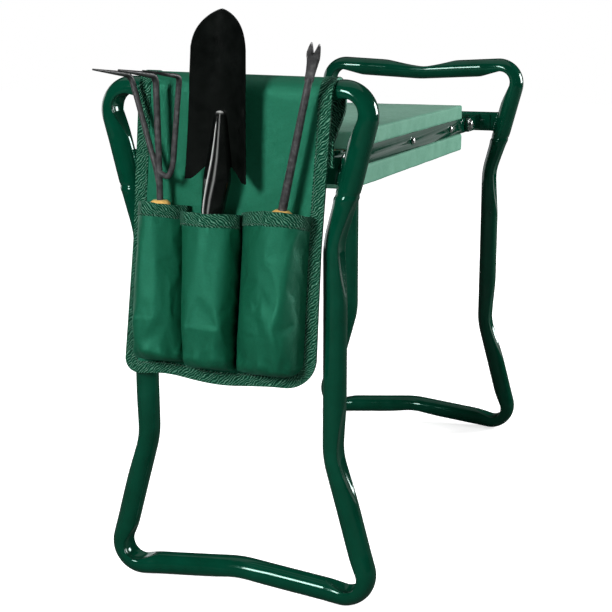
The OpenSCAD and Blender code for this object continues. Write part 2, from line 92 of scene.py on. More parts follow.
# %% [markdown]
# ## Studio
#
# Glossy tube shows its surroundings, so large soft lamps matter more than strong ones. The key
# lamp stands to the left of the pouch, which throws the tools' shadows to the right on the cloth.
# A lamp bright enough for the cloth would burn out on the enamel. So its light is given by one
# lamp that gloss doesn't see, and its mirror image by a weaker one just in front of it. Two dim
# cards only draw streaks on the tube. The sky is white to the camera and dark grey in the enamel.

# %% Lamps
def soft_lamp(name, place, aim, size, power):
    """An oblong area lamp at a place, turned to face a point; size is its width and height."""
    bpy.ops.object.select_all(action="DESELECT")
    bpy.ops.object.light_add(type="AREA", location=place)
    lamp = bpy.context.object
    lamp.name = name
    lamp.data.shape = "RECTANGLE"
    lamp.data.size, lamp.data.size_y = size
    lamp.data.energy = power
    lamp.rotation_euler = (Vector(aim) - Vector(place)).to_track_quat("-Z", "Y").to_euler()
    lamp.visible_camera = False
    return lamp


image_gap = 0.003


def veiled_lamp(name, place, aim, size, power, mirrored):
    """A lamp whose mirror image on gloss is only a share as strong as its light."""
    soft_lamp(name, place, aim, size, power).visible_glossy = False
    in_front = Vector(place).lerp(Vector(aim), image_gap)
    soft_lamp(f"{name}_image", in_front, aim, size, power * mirrored).visible_diffuse = False


veiled_lamp("key_lamp", (-2.1, 0.46, 1.15), (-0.25, 0.0, 0.35), (0.42, 0.55), 61, 0.3)
veiled_lamp("top_lamp", (0.35, 0.25, 2.3), (0.05, 0.0, 0.3), (2.4, 2.4), 16, 0.4)
veiled_lamp("side_lamp", (1.6, -1.8, 0.9), (0.1, 0.0, 0.38), (0.8, 0.8), 70, 0.6)
soft_lamp("back_card", (2.6, -0.9, 0.28), (0.1, -0.1, 0.38), (1.1, 0.6), 0.8)
fill_lamp = soft_lamp("fill_lamp", (-1.6, -1.6, 0.5), (0.0, -0.05, 0.38), (1.2, 1.0), 20)
fill_lamp.visible_glossy = False
left_card = soft_lamp("left_card", (1.0, 2.4, 0.5), (0.0, 0.0, 0.35), (2.0, 1.2), 10)
left_card.visible_diffuse = False
print("studio: four lamps and two cards")

# %% Sky and floor
sky = bpy.data.worlds.new("studio_sky")
sky.use_nodes = True
bpy.context.scene.world = sky
sky_nodes, sky_links = sky.node_tree.nodes, sky.node_tree.links
seen = sky_nodes["Background"]
seen.inputs["Color"].default_value = (1.0, 1.0, 1.0, 1.0)
mirrored = sky_nodes.new("ShaderNodeBackground")
mirrored.inputs["Color"].default_value = (0.92, 0.96, 1.0, 1.0)
mirrored.inputs["Strength"].default_value = 0.025
sky_mix = sky_nodes.new("ShaderNodeMixShader")
ray = sky_nodes.new("ShaderNodeLightPath")
sky_links.new(ray.outputs["Is Camera Ray"], sky_mix.inputs["Fac"])
sky_links.new(mirrored.outputs["Background"], sky_mix.inputs[1])
sky_links.new(seen.outputs["Background"], sky_mix.inputs[2])
sky_links.new(sky_mix.outputs["Shader"], sky_nodes["World Output"].inputs["Surface"])

bpy.ops.object.select_all(action="DESELECT")
bpy.ops.mesh.primitive_plane_add(size=14.0, location=(0.0, 0.0, 0.0))
floor = bpy.context.object
floor.name = "studio_floor"
print("studio: sky and floor")

# %% [markdown]
# ## Tools of the bench
#
# Operators act on whatever is selected, so each step starts from nothing selected. Shapes that
# follow a rule, such as a dent or a fold, are easiest as moves of all the points at once, so two
# helpers read and write a mesh's points as one table.

# %% Selecting, moving and finishing
def deselect():
    """Leave edit mode and let go of everything."""
    if bpy.context.mode != "OBJECT":
        bpy.ops.object.mode_set(mode="OBJECT")
    bpy.ops.object.select_all(action="DESELECT")


def pick(*objects):
    """Select these objects alone, with the first one active."""
    deselect()
    for each in objects:
        each.select_set(True)
    bpy.context.view_layer.objects.active = objects[0]


def points_of(piece):
    """The points of a mesh as a table of x, y, z."""
    table = np.empty(len(piece.data.vertices) * 3)
    piece.data.vertices.foreach_get("co", table)
    return table.reshape(-1, 3)


def move_points(piece, table):
    """Write a table of points back to the mesh."""
    piece.data.vertices.foreach_set("co", np.ascontiguousarray(table).ravel())
    piece.data.update()


def harden(piece, kind, **settings):
    """Add a modifier with its settings and apply it."""
    pick(piece)
    modifier = piece.modifiers.new(kind.lower(), kind)
    for key, value in settings.items():
        setattr(modifier, key, value)
    bpy.ops.object.modifier_apply(modifier=modifier.name)


def close_up(piece, gap=0.00002):
    """Merge points that meet and turn the faces outwards."""
    pick(piece)
    bpy.ops.object.mode_set(mode="EDIT")
    bpy.ops.mesh.select_all(action="SELECT")
    bpy.ops.mesh.remove_doubles(threshold=gap)
    bpy.ops.mesh.normals_make_consistent(inside=False)
    bpy.ops.object.mode_set(mode="OBJECT")


def hand_over(piece, body, finish, stands_for=(), crease=35):
    """Fix the place in the mesh, smooth it, and say where the piece belongs."""
    pick(piece)
    bpy.ops.object.transform_apply(location=True, rotation=True, scale=True)
    bpy.ops.object.shade_smooth_by_angle(angle=math.radians(crease))
    piece.data.materials.clear()
    piece.data.materials.append(finish)
    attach(piece, body)
    if stands_for:
        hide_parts(*stands_for)
    print(f"{piece.name}: {len(piece.data.polygons)} faces, rides on {body}")


def copy_of(piece, name):
    """A second object with a mesh of its own."""
    twin = bpy.data.objects.new(name, piece.data.copy())
    bpy.context.collection.objects.link(twin)
    return twin


def softened(node, name, width, segments=3):
    """A copy of a frame piece with its sharp edges rounded over."""
    piece = copy_of(nodes[node], name)
    pick(piece)
    bpy.ops.object.mode_set(mode="EDIT")
    bpy.ops.mesh.select_all(action="SELECT")
    bpy.ops.mesh.remove_doubles(threshold=0.00001)
    bpy.ops.mesh.dissolve_limited(angle_limit=math.radians(0.5))
    bpy.ops.object.mode_set(mode="OBJECT")
    harden(piece, "BEVEL", width=width, segments=segments, limit_method="ANGLE",
           angle_limit=math.radians(40))
    return piece


def ringed_cylinder(vertices, radius, low, rings):
    """A cylinder one metre tall from a height on, cut into rings."""
    deselect()
    bpy.ops.mesh.primitive_cylinder_add(vertices=vertices, radius=radius, depth=1.0,
                                        location=(0.0, 0.0, low + 0.5))
    piece = bpy.context.object
    bpy.ops.object.transform_apply(location=True, rotation=True, scale=True)
    for upright in piece.data.edges:
        heights = [piece.data.vertices[i].co.z for i in upright.vertices]
        upright.select = abs(heights[0] - heights[1]) > 0.5
    for face in piece.data.polygons:
        face.select = False
    bpy.ops.object.mode_set(mode="EDIT")
    bpy.ops.mesh.select_mode(type="EDGE")
    bpy.ops.mesh.subdivide(number_cuts=rings)
    bpy.ops.object.mode_set(mode="OBJECT")
    return piece


def bell(x, centre, spread):
    """A smooth hump of height 1 at a centre."""
    return np.exp(-(((x - centre) / spread) ** 2))


def smooth_step(x):
    """Ease from 0 to 1 with level ends."""
    return x**2 * (3 - 2 * x)


def joined(pieces, name):
    """Join pieces into the first one and name it."""
    pick(*pieces)
    bpy.ops.object.join()
    pieces[0].name = name
    return pieces[0]


print("bench ready")

# %% [markdown]
# ## Finishes
#
# Each finish is a small tree of nodes: a colour that wanders a little, a roughness that wanders
# with it and a relief at the right scale. Rigid pieces read their object coordinates, which the
# whole frame shares. Cloth reads its own map, laid out in metres of flat fabric.

# %% Node helpers
def new_finish(name, roughness, sockets=None):
    """A material whose constant sockets are set on the shader itself."""
    finish = bpy.data.materials.new(name)
    finish.use_nodes = True
    shader = finish.node_tree.nodes["Principled BSDF"]
    shader.inputs["Roughness"].default_value = roughness
    for socket, value in (sockets or {}).items():
        shader.inputs[socket].default_value = value
    return finish


def coordinates(finish, source="Object", stretch=(1.0, 1.0, 1.0), turn=(0.0, 0.0, 0.0)):
    """Coordinates for a pattern, stretched or turned by a Mapping node."""
    tree = finish.node_tree
    place = tree.nodes.new("ShaderNodeTexCoord")
    mapping = tree.nodes.new("ShaderNodeMapping")
    mapping.inputs["Scale"].default_value = stretch
    mapping.inputs["Rotation"].default_value = turn
    tree.links.new(place.outputs[source], mapping.inputs["Vector"])
    return mapping.outputs["Vector"]


def mottle(finish, place, scale, detail=3.0, rough=0.55):
    """Noise with so many lumps to the metre."""
    tree = finish.node_tree
    noise = tree.nodes.new("ShaderNodeTexNoise")
    noise.inputs["Scale"].default_value = scale
    noise.inputs["Detail"].default_value = detail
    noise.inputs["Roughness"].default_value = rough
    tree.links.new(place, noise.inputs["Vector"])
    return noise.outputs["Fac"]


def stripes(finish, place, pitch, direction="X", distortion=0.0):
    """Sine bands with a given pitch in metres along one direction."""
    tree = finish.node_tree
    wave = tree.nodes.new("ShaderNodeTexWave")
    wave.bands_direction = direction
    per_unit = 10.0 if direction == "DIAGONAL" else 20.0
    wave.inputs["Scale"].default_value = 2 * math.pi / (per_unit * pitch)
    wave.inputs["Distortion"].default_value = distortion
    wave.inputs["Detail"].default_value = 0.0
    tree.links.new(place, wave.inputs["Vector"])
    return wave.outputs["Fac"]


def together(finish, first, second, how="MULTIPLY"):
    """Two patterns combined into one."""
    tree = finish.node_tree
    combined = tree.nodes.new("ShaderNodeMath")
    combined.operation = how
    tree.links.new(first, combined.inputs[0])
    tree.links.new(second, combined.inputs[1])
    return combined.outputs["Value"]


def tint(finish, source, stops):
    """Colour the finish by a source, from (place, colour) stops."""
    tree = finish.node_tree
    ramp = tree.nodes.new("ShaderNodeValToRGB")
    steps = ramp.color_ramp.elements
    while len(steps) < len(stops):
        steps.new(0.5)
    for step, (place, colour) in zip(steps, stops):
        step.position = place
        step.color = (*colour, 1.0)
    tree.links.new(source, ramp.inputs["Fac"])
    tree.links.new(ramp.outputs["Color"], tree.nodes["Principled BSDF"].inputs["Base Color"])


def gloss(finish, source, low, high):
    """Let the roughness wander between two values."""
    tree = finish.node_tree
    spread = tree.nodes.new("ShaderNodeMapRange")
    spread.inputs["From Min"].default_value = 0.3
    spread.inputs["From Max"].default_value = 0.7
    spread.inputs["To Min"].default_value = low
    spread.inputs["To Max"].default_value = high
    tree.links.new(source, spread.inputs["Value"])
    tree.links.new(spread.outputs["Result"], tree.nodes["Principled BSDF"].inputs["Roughness"])


def relief(finish, source, strength, depth):
    """Bump by a source; a second relief goes on top of the first."""
    tree = finish.node_tree
    normal = tree.nodes["Principled BSDF"].inputs["Normal"]
    bump = tree.nodes.new("ShaderNodeBump")
    bump.inputs["Strength"].default_value = strength
    bump.inputs["Distance"].default_value = depth
    tree.links.new(source, bump.inputs["Height"])
    if normal.is_linked:
        tree.links.new(normal.links[0].from_socket, bump.inputs["Normal"])
    tree.links.new(bump.outputs["Normal"], normal)


print("node helpers ready")

# %% [markdown]
# Enamel is a thick, wet-looking paint: almost black green below, a clear gloss on top, and slow
# waves where it ran. The waves are a relief and not geometry, as they are finer than the mesh.
# Zinc plate is the thin bright coat of the screws and bolts.

# %% Enamel and zinc
enamel = new_finish("green_enamel", 0.14, {"Specular IOR Level": 0.42, "Coat Weight": 0.35,
                                           "Specular Tint": (0.5, 1.0, 0.85, 1.0),
                                           "Coat Roughness": 0.03})
place = coordinates(enamel)
cloud = mottle(enamel, place, 38.0)
tint(enamel, cloud, [(0.25, (0.0003, 0.026, 0.013)), (0.75, (0.0007, 0.039, 0.021))])
gloss(enamel, mottle(enamel, place, 90.0), 0.08, 0.16)
relief(enamel, mottle(enamel, place, 60.0, 2.0), 0.10, 0.0012)
relief(enamel, mottle(enamel, place, 520.0, 1.0), 0.06, 0.0004)

zinc = new_finish("zinc_plate", 0.25, {"Metallic": 1.0})
place = coordinates(zinc)
tint(zinc, mottle(zinc, place, 260.0), [(0.3, (0.56, 0.57, 0.56)), (0.7, (0.80, 0.80, 0.78))])
gloss(zinc, mottle(zinc, place, 420.0), 0.18, 0.36)
relief(zinc, mottle(zinc, place, 900.0), 0.15, 0.0002)
print("enamel and zinc ready")

# %% [markdown]
# The trowel is lacquered black. A pale grey is painted in as a painted highlight where the socket's
# seam stands up, on the facet to its left and round the rib's end. The socket's mesh carries its share
# as a point attribute, and the grey shows by that share.

# %% Steels
black_steel = new_finish("black_steel", 0.3, {"Specular IOR Level": 0.28, "Coat Weight": 0.12,
                                               "Coat Roughness": 0.1})
place = coordinates(black_steel)
tint(black_steel, mottle(black_steel, place, 70.0),
     [(0.3, (0.0010, 0.0014, 0.0012)), (0.7, (0.003, 0.0038, 0.0034))])
steel_tree = black_steel.node_tree
steel_base = steel_tree.nodes["Principled BSDF"].inputs["Base Color"]
# Painted highlight: a pale grey mixed into the black steel by the socket's point attribute.
highlight_reader = steel_tree.nodes.new("ShaderNodeAttribute")
highlight_reader.attribute_name = "painted_highlight"
highlight_mix = steel_tree.nodes.new("ShaderNodeMix")
highlight_mix.data_type = "RGBA"
highlight_mix.inputs["B"].default_value = (0.42, 0.43, 0.42, 1.0)
steel_tree.links.new(highlight_reader.outputs["Fac"], highlight_mix.inputs["Factor"])
steel_tree.links.new(steel_base.links[0].from_socket, highlight_mix.inputs["A"])
steel_tree.links.new(highlight_mix.outputs["Result"], steel_base)
gloss(black_steel, mottle(black_steel, place, 130.0), 0.17, 0.27)
relief(black_steel, mottle(black_steel, place, 45.0, 2.0), 0.10, 0.0015)
relief(black_steel, mottle(black_steel, place, 640.0, 2.0), 0.10, 0.0003)

forged_steel = new_finish("forged_steel", 0.45, {"Metallic": 0.35})
place = coordinates(forged_steel)
tint(forged_steel, mottle(forged_steel, place, 210.0, 5.0),
     [(0.28, (0.022, 0.022, 0.023)), (0.55, (0.055, 0.055, 0.057)), (0.8, (0.12, 0.12, 0.118))])
gloss(forged_steel, mottle(forged_steel, place, 300.0), 0.35, 0.58)
relief(forged_steel, mottle(forged_steel, place, 240.0, 3.0), 0.35, 0.0006)
print("steels ready")

# %% [markdown]
# Closed-cell foam scatters light softly and shows fine pores. The board is pressed wood with
# layers along its edge, and beech has a grain that runs down the handle. Stretching the
# coordinates of one noise gives both, with no second pattern.

# %% Foam, board and wood
foam = new_finish("green_foam", 0.62, {"Sheen Weight": 0.05, "Sheen Roughness": 0.4,
                                       "Specular IOR Level": 0.22})
place = coordinates(foam)
tint(foam, mottle(foam, place, 55.0, 5.0),
     [(0.3, (0.080, 0.240, 0.164)), (0.7, (0.118, 0.300, 0.212))])
gloss(foam, mottle(foam, place, 400.0), 0.5, 0.72)
relief(foam, mottle(foam, place, 1300.0, 2.0), 0.28, 0.0005)
relief(foam, mottle(foam, place, 110.0, 3.0), 0.10, 0.0008)

board = new_finish("core_board", 0.75)
place = coordinates(board, stretch=(1.0, 1.0, 9.0))
tint(board, mottle(board, place, 60.0, 6.0),
     [(0.3, (0.20, 0.12, 0.055)), (0.7, (0.36, 0.25, 0.13))])
relief(board, mottle(board, place, 160.0, 4.0), 0.3, 0.0005)

beech = new_finish("varnished_beech", 0.34, {"Coat Weight": 0.6, "Coat Roughness": 0.12})
place = coordinates(beech, stretch=(1.0, 1.0, 0.07))
grain = mottle(beech, place, 420.0, 5.0, 0.65)
tint(beech, grain, [(0.25, (0.44, 0.23, 0.055)), (0.5, (0.66, 0.40, 0.11)),
                    (0.8, (0.78, 0.53, 0.19))])
gloss(beech, grain, 0.42, 0.28)
relief(beech, grain, 0.12, 0.0004)
print("foam, board and wood ready")

# %% [markdown]
# The floor is pale paper that fades into the white sky. Enamel would mirror it as a bright band,
# so only the camera sees the paper: every other ray meets a dim, matt floor.

# %% Floor finish
paper = new_finish("pale_floor", 0.8, {"Emission Strength": 1.0})
tint(paper, mottle(paper, coordinates(paper), 3.0),
     [(0.3, (0.84, 0.845, 0.845)), (0.7, (0.88, 0.88, 0.875))])
floor.data.materials.append(paper)
floor_tree = paper.node_tree
spread = floor_tree.nodes.new("ShaderNodeTexGradient")
spread.gradient_type = "SPHERICAL"
floor_tree.links.new(coordinates(paper, stretch=(0.4, 0.4, 0.4)), spread.inputs["Vector"])
lift = floor_tree.nodes.new("ShaderNodeValToRGB")
for step, (place, grey) in zip(lift.color_ramp.elements, ((0.25, 1.0), (0.85, 0.72))):
    step.position, step.color = place, (grey, grey, grey, 1.0)
floor_tree.links.new(spread.outputs["Fac"], lift.inputs["Fac"])
floor_shader = floor_tree.nodes["Principled BSDF"]
floor_tree.links.new(lift.outputs["Color"], floor_shader.inputs["Emission Color"])
dim = floor_tree.nodes.new("ShaderNodeBsdfDiffuse")
dim.inputs["Color"].default_value = (0.07, 0.08, 0.075, 1.0)
floor_ray = floor_tree.nodes.new("ShaderNodeLightPath")
floor_mix = floor_tree.nodes.new("ShaderNodeMixShader")
floor_tree.links.new(floor_ray.outputs["Is Camera Ray"], floor_mix.inputs["Fac"])
floor_tree.links.new(dim.outputs["BSDF"], floor_mix.inputs[1])
floor_tree.links.new(floor_shader.outputs["BSDF"], floor_mix.inputs[2])
floor_out = floor_tree.nodes["Material Output"].inputs["Surface"]
floor_tree.links.new(floor_mix.outputs["Shader"], floor_out)
print("floor ready")

# %% [markdown]
# The pouch is coarse coated cloth. Its weave is two sets of bands on the flat map, one for each
# thread direction, multiplied so that a small hump stands at each crossing. The binding is a
# coarse twill tape, so its bands run on the diagonal, and they waver because the tape is worn.

# %% Cloth, tape and fastener finishes
cloth = new_finish("green_cloth", 0.4, {"Sheen Weight": 0.05, "Sheen Roughness": 0.3,
                                        "Sheen Tint": (0.1, 0.7, 0.45, 1.0),
                                        "Specular IOR Level": 0.5, "IOR": 2.1,
                                        "Specular Tint": (0.20, 1.0, 0.66, 1.0)})
weave_place = coordinates(cloth, "UV")
crossings = together(cloth, stripes(cloth, weave_place, 0.00095, "X"),
                     stripes(cloth, weave_place, 0.00095, "Y"))
patches = mottle(cloth, weave_place, 420.0, 4.0, 0.7)
tint(cloth, together(cloth, patches, crossings, "ADD"),
     [(0.35, (0.0010, 0.031, 0.014)), (0.75, (0.0030, 0.060, 0.030)), (1.0, (0.009, 0.098, 0.054))])
gloss(cloth, mottle(cloth, weave_place, 90.0), 0.40, 0.52)
relief(cloth, crossings, 0.35, 0.0005)
relief(cloth, mottle(cloth, weave_place, 70.0, 3.0), 0.22, 0.0016)
relief(cloth, mottle(cloth, coordinates(cloth, "UV", (1.0, 0.25, 1.0)), 240.0, 2.0), 0.12, 0.0008)

tape = new_finish("twill_tape", 0.6, {"Sheen Weight": 0.02, "Sheen Roughness": 0.4,
                                      "Sheen Tint": (0.3, 0.8, 0.55, 1.0),
                                      "Specular Tint": (0.3, 1.0, 0.7, 1.0),
                                      "Specular IOR Level": 0.2})
tape_place = coordinates(tape, "UV")
twill = stripes(tape, tape_place, 0.0031, "DIAGONAL", 5.0)
flecks = mottle(tape, tape_place, 290.0, 4.0, 0.95)
ribs = together(tape, twill, flecks)
tint(tape, ribs, [(0.08, (0.001, 0.018, 0.009)), (0.28, (0.005, 0.046, 0.025)),
                  (0.45, (0.028, 0.115, 0.072)), (0.58, (0.13, 0.26, 0.19))])
relief(tape, ribs, 0.6, 0.0009)

thread = new_finish("dark_thread", 0.6, {"Sheen Weight": 0.2})
tint(thread, mottle(thread, coordinates(thread), 900.0),
     [(0.3, (0.002, 0.022, 0.012)), (0.7, (0.006, 0.048, 0.027))])

fastener = new_finish("fastener_tape", 0.85, {"Sheen Weight": 0.5})
place = coordinates(fastener)
tint(fastener, mottle(fastener, place, 1500.0), [(0.3, (0.004, 0.02, 0.012)),
                                                 (0.7, (0.012, 0.05, 0.032))])
relief(fastener, mottle(fastener, place, 1700.0), 0.8, 0.0008)
for strip in ("hook_strip", "loop_strip"):
    nodes[strip].data.materials.clear()
    nodes[strip].data.materials.append(fastener)
print("cloth finishes ready")

# %% [markdown]
# ## Leg loops
#
# Each leg is one closed loop of steel tube: handle, two waisted legs and a foot bar. A press bends
# it cold, and at each bend the former leaves a scooped flat on the inside. A curve with a round
# section would give the bends but not the marks, so the tube is bent as in the shop. A ring is
# extruded along each straight and spun round each bend, and then the marks are pressed in.

# %% The route of a loop
near_x = (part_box("near_tube_loop")[0].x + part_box("near_tube_loop")[1].x) / 2
far_x = (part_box("far_tube_loop")[0].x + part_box("far_tube_loop")[1].x) / 2
tube_r, ring_gap, route_gap = 11 * mm, 1.6 * mm, 0.4 * mm
waist_y, waist_z = 96.0, 345.0
handle_y, handle_z = 130.5, 480.39

# Each bend: y, z, radius, then how deep its press mark is and how far it reaches, in millimetres
handle_to_foot = [
    (0.0, 473.7, 120.0, 9.5, 44.0),
    (handle_y, handle_z, 21.0, 11.5, 40.0),
    (waist_y, waist_z, 90.0, 8.0, 50.0),
    (waist_y, 146.0, 90.0, 8.0, 50.0),
    (133.5, 8.23, 21.0, 11.0, 36.0),
    (0.0, 21.6, 120.0, 5.0, 32.0),
]
foot_to_handle = [(-b[0], *b[1:]) for b in reversed(handle_to_foot[1:5])]
bends = handle_to_foot + foot_to_handle
corners = [Vector((b[0], b[1])) * mm for b in bends]


def arc_at(index):
    """Start, centre, turn about +X and end of one bend, as (y, z) points."""
    here = corners[index]
    way_in = (here - corners[index - 1]).normalized()
    way_out = (corners[(index + 1) % len(corners)] - here).normalized()
    turn = math.atan2(way_in.x * way_out.y - way_in.y * way_out.x, way_in.dot(way_out))
    radius = bends[index][2] * mm
    back = radius * math.tan(abs(turn) / 2)
    start = here - way_in * back
    centre = start + Vector((-way_in.y, way_in.x)) * math.copysign(radius, turn)
    return start, centre, turn, here + way_out * back


arcs = [arc_at(i) for i in range(len(bends))]
print("loop route:", len(arcs), "bends")

# %% Bend the tube
at = arcs[-1][3]
heading = (arcs[0][0] - at).normalized()
deselect()
bpy.ops.mesh.primitive_circle_add(
    vertices=64, radius=tube_r, location=(0.0, at.x, at.y),
    rotation=(math.atan2(-heading.x, heading.y), 0.0, 0.0),
)
loop = bpy.context.object
bpy.ops.object.transform_apply(location=True, rotation=True, scale=True)
bpy.ops.object.mode_set(mode="EDIT")
bpy.ops.mesh.select_all(action="SELECT")
for (start, centre, turn, end), bend in zip(arcs, bends):
    straight = start - at
    steps = max(1, round(straight.length / ring_gap))
    bpy.ops.mesh.extrude_repeat(steps=steps, offset=(0.0, straight.x / steps, straight.y / steps))
    steps = max(4, round(abs(turn) * bend[2] * mm / ring_gap))
    bpy.ops.mesh.spin(steps=steps, angle=-turn, center=(0.0, centre.x, centre.y),
                      axis=(1.0, 0.0, 0.0))
    at = end
bpy.ops.object.mode_set(mode="OBJECT")
close_up(loop, 0.0001)
print("bent loop:", len(loop.data.vertices), "points")

# %% [markdown]
# A point of the tube is known by how far along the route it lies, how far towards the inside of
# the bend, and how far sideways. The former stops every point that would stand past its face, so a
# press mark is the smaller of two heights, eased where they meet, and the wall spreads sideways.

# %% Press the marks
route, bend_middles = [], []
at = arcs[-1][3]
for start, centre, turn, end in arcs:
    steps = max(2, int((start - at).length / route_gap))
    way = (start - at).normalized()
    route += [(*at.lerp(start, i / steps), way.x, way.y) for i in range(steps)]
    spoke = start - centre
    steps = max(2, int(abs(turn) * spoke.length / route_gap))
    bend_middles.append(len(route) + steps // 2)
    for i in range(steps):
        c, s = math.cos(turn * i / steps), math.sin(turn * i / steps)
        arm = Vector((c * spoke.x - s * spoke.y, s * spoke.x + c * spoke.y))
        out = arm.normalized() * math.copysign(1.0, turn)
        route.append((centre.x + arm.x, centre.y + arm.y, -out.y, out.x))
    at = end
route = np.array(route)
along = np.concatenate([[0.0], np.cumsum(np.hypot(*np.diff(route[:, :2], axis=0).T))])
lap = along[-1]

tree = KDTree(len(route))
for i, (y, z, _, _) in enumerate(route):
    tree.insert((0.0, y, z), i)
tree.balance()
points = points_of(loop)
nearest = np.array([tree.find((0.0, y, z))[1] for _, y, z in points])
base, tangent, s = route[nearest, :2], route[nearest, 2:], along[nearest]
normal = np.stack([-tangent[:, 1], tangent[:, 0]], axis=1)
u = np.einsum("ij,ij->i", points[:, 1:] - base, normal)
v = points[:, 0].copy()

# The former's face is a little hollow across, and the pressed wall spreads by a share of the depth
ease, former_hollow, wall_spread = 0.9 * mm, 38.0, 0.19
for middle, (_, _, turn, _), bend in zip(bend_middles, arcs, bends):
    depth, reach = bend[3] * mm, bend[4] * mm
    inside = math.copysign(1.0, turn)
    away = np.abs((s - along[middle] + lap / 2) % lap - lap / 2)
    face = tube_r - depth + depth * (away / reach) ** 1.7 + former_hollow * v**2
    height = inside * u
    pressed = -ease * np.logaddexp(-height / ease, -face / ease)
    near = away < 1.6 * reach
    u[near] = inside * pressed[near]
    v[near] *= 1 + wall_spread * depth / tube_r * np.clip(1 - (away[near] / reach) ** 2, 0, 1)

# The handle half is sleeved into the leg half, which leaves a ring round each leg
sleeve_z = 389 * mm
drop = points[:, 2] - sleeve_z
swell = 1 + 0.045 * bell(drop, -3.2 * mm, 3.4 * mm) - 0.075 * bell(drop, 0.0, 1.3 * mm)
u, v = u * swell, v * swell
points[:, 1:] = base + normal * u[:, None]
points[:, 0] = v
move_points(loop, points)
print(f"pressed {len(bends)} marks along {lap:.3f} m of tube")

# %% Hand over both loops
near_loop, far_loop = loop, copy_of(loop, "far_leg_tube")
near_loop.name = "near_leg_tube"
for piece, x in ((near_loop, near_x), (far_loop, far_x)):
    table = points_of(piece)
    table[:, 0] += x
    move_points(piece, table)
hand_over(near_loop, "near_leg", enamel, ["near_tube_loop"], 60)
hand_over(far_loop, "far_leg", enamel, ["far_tube_loop"], 60)

# %% [markdown]
# ## Straps, lugs and rails
#
# These are cut and folded from steel strip, and dipped in the same enamel. Their shapes are right
# in the frame, and what they lack is the rounded edge that catches the light. A merged copy with
# a bevel gives it.

# %% Strip steel
for end in ("near", "far"):
    strap = softened(f"{end}_cross_strap", f"{end}_strap", 0.5 * mm)
    hand_over(strap, f"{end}_leg", enamel, [f"{end}_cross_strap"])
    lugs = softened(f"{end}_hinge_lugs", f"{end}_lugs", 0.6 * mm)
    hand_over(lugs, f"{end}_leg", enamel, [f"{end}_hinge_lugs"])
for side in ("left", "right"):
    rail = softened(f"rail_{side}", f"{side}_rail", 0.6 * mm)
    hand_over(rail, "seat", enamel, [f"rail_{side}"])

# %% [markdown]
# Where a strap meets a leg, the weld stands as a lumpy bead under the enamel. Each bead is a thin
# bar that is subdivided and roughened along its length.

# %% Weld beads
bead_r, bead_out, bead_sink = 2.1 * mm, 2.0 * mm, 0.4 * mm


def weld_bead(x, side, face):
    """A bead up one corner between a strap's face and a leg."""
    low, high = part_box("near_cross_strap")
    deselect()
    bpy.ops.mesh.primitive_cylinder_add(vertices=12, radius=bead_r, depth=high.z - low.z)
    bead = bpy.context.object
    bpy.ops.object.mode_set(mode="EDIT")
    bpy.ops.mesh.select_all(action="DESELECT")
    bpy.ops.object.mode_set(mode="OBJECT")
    for edge in bead.data.edges:
        ends = [bead.data.vertices[i].co.z for i in edge.vertices]
        edge.select = abs(ends[0] - ends[1]) > mm
    bpy.ops.object.mode_set(mode="EDIT")
    bpy.ops.mesh.select_mode(type="EDGE")
    bpy.ops.mesh.subdivide(number_cuts=30)
    bpy.ops.object.mode_set(mode="OBJECT")
    table = points_of(bead)
    z = table[:, 2] + (low.z + high.z) / 2
    up = table[:, 2] / mm
    ripple = 1 + 0.16 * np.sin(up * 2.4 + x * 90 + side) + 0.1 * np.sin(up * 5.3)
    leg_y = np.interp(z, [waist_z * mm, handle_z * mm], [waist_y * mm, handle_y * mm])
    table[:, 0] = table[:, 0] * ripple * 0.8 + x + face * bead_out
    table[:, 1] = table[:, 1] * ripple + side * (leg_y - tube_r - bead_sink)
    table[:, 2] = z
    move_points(bead, table)
    return bead


for end, x in (("near", near_x), ("far", far_x)):
    beads = [weld_bead(x, side, face) for side in (1, -1) for face in (1, -1)]
    weld = joined(beads, f"{end}_weld_beads")
    hand_over(weld, f"{end}_leg", enamel, crease=70)

# %% [markdown]
# ## Seat pad
#
# Two slabs of closed-cell foam are glued to a board. A die cuts them, so the faces are flat and
# the edges only just soft, with a slow unevenness. A beveled and subdivided block with a faint
# displacement is nearer to that than a crowned cushion would be.

# %% Foam slabs and board
swelling = bpy.data.textures.new("foam_swelling", type="CLOUDS")
swelling.noise_scale = 0.045
foam_round, foam_swell = 2.2 * mm, 1.1 * mm


def foam_slab(node, name):
    """A slab in the place of its node, with soft edges and a slow unevenness."""
    low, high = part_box(node)
    deselect()
    bpy.ops.mesh.primitive_cube_add(size=1.0, location=(low + high) / 2)
    slab = bpy.context.object
    slab.name = name
    slab.scale = high - low
    bpy.ops.object.transform_apply(location=True, rotation=True, scale=True)
    bpy.ops.object.mode_set(mode="EDIT")
    bpy.ops.mesh.select_all(action="SELECT")
    bpy.ops.mesh.bevel(offset=foam_round, segments=3, affect="EDGES")
    bpy.ops.mesh.select_all(action="SELECT")
    bpy.ops.mesh.subdivide(number_cuts=18)
    bpy.ops.object.mode_set(mode="OBJECT")
    harden(slab, "DISPLACE", texture=swelling, texture_coords="GLOBAL", strength=foam_swell,
           mid_level=0.6)
    hand_over(slab, "seat", foam, [node], 60)


foam_slab("upper_foam", "upper_slab")
foam_slab("lower_foam", "lower_slab")
core = softened("core_board", "board", 0.4 * mm)
hand_over(core, "seat", board, ["core_board"])

# %% [markdown]
# ## Screws, bolts, washers and nuts
#
# They are small and bright, and each shows mostly as one highlight, so a generous round-over on
# a copy of the frame's solid is enough.

# %% Fasteners
for node, name, width in (("rail_screws", "screws", 0.9), ("pivot_bolts", "bolts", 1.1),
                          ("pivot_washers", "washers", 0.3), ("pivot_nuts", "nuts", 0.5)):
    piece = softened(node, name, width * mm)
    hand_over(piece, "seat", zinc, [node], 50)

# %% [markdown]
# ## Pouch
#
# The pouch is a cut sheet that hangs from the handle: up the front, over the tube as a sleeve and
# down behind it to a fastener. A flat grid is laid along that route point by point. Its corners
# are rounded by turning square rings of the grid into round ones, so the binding can follow them.

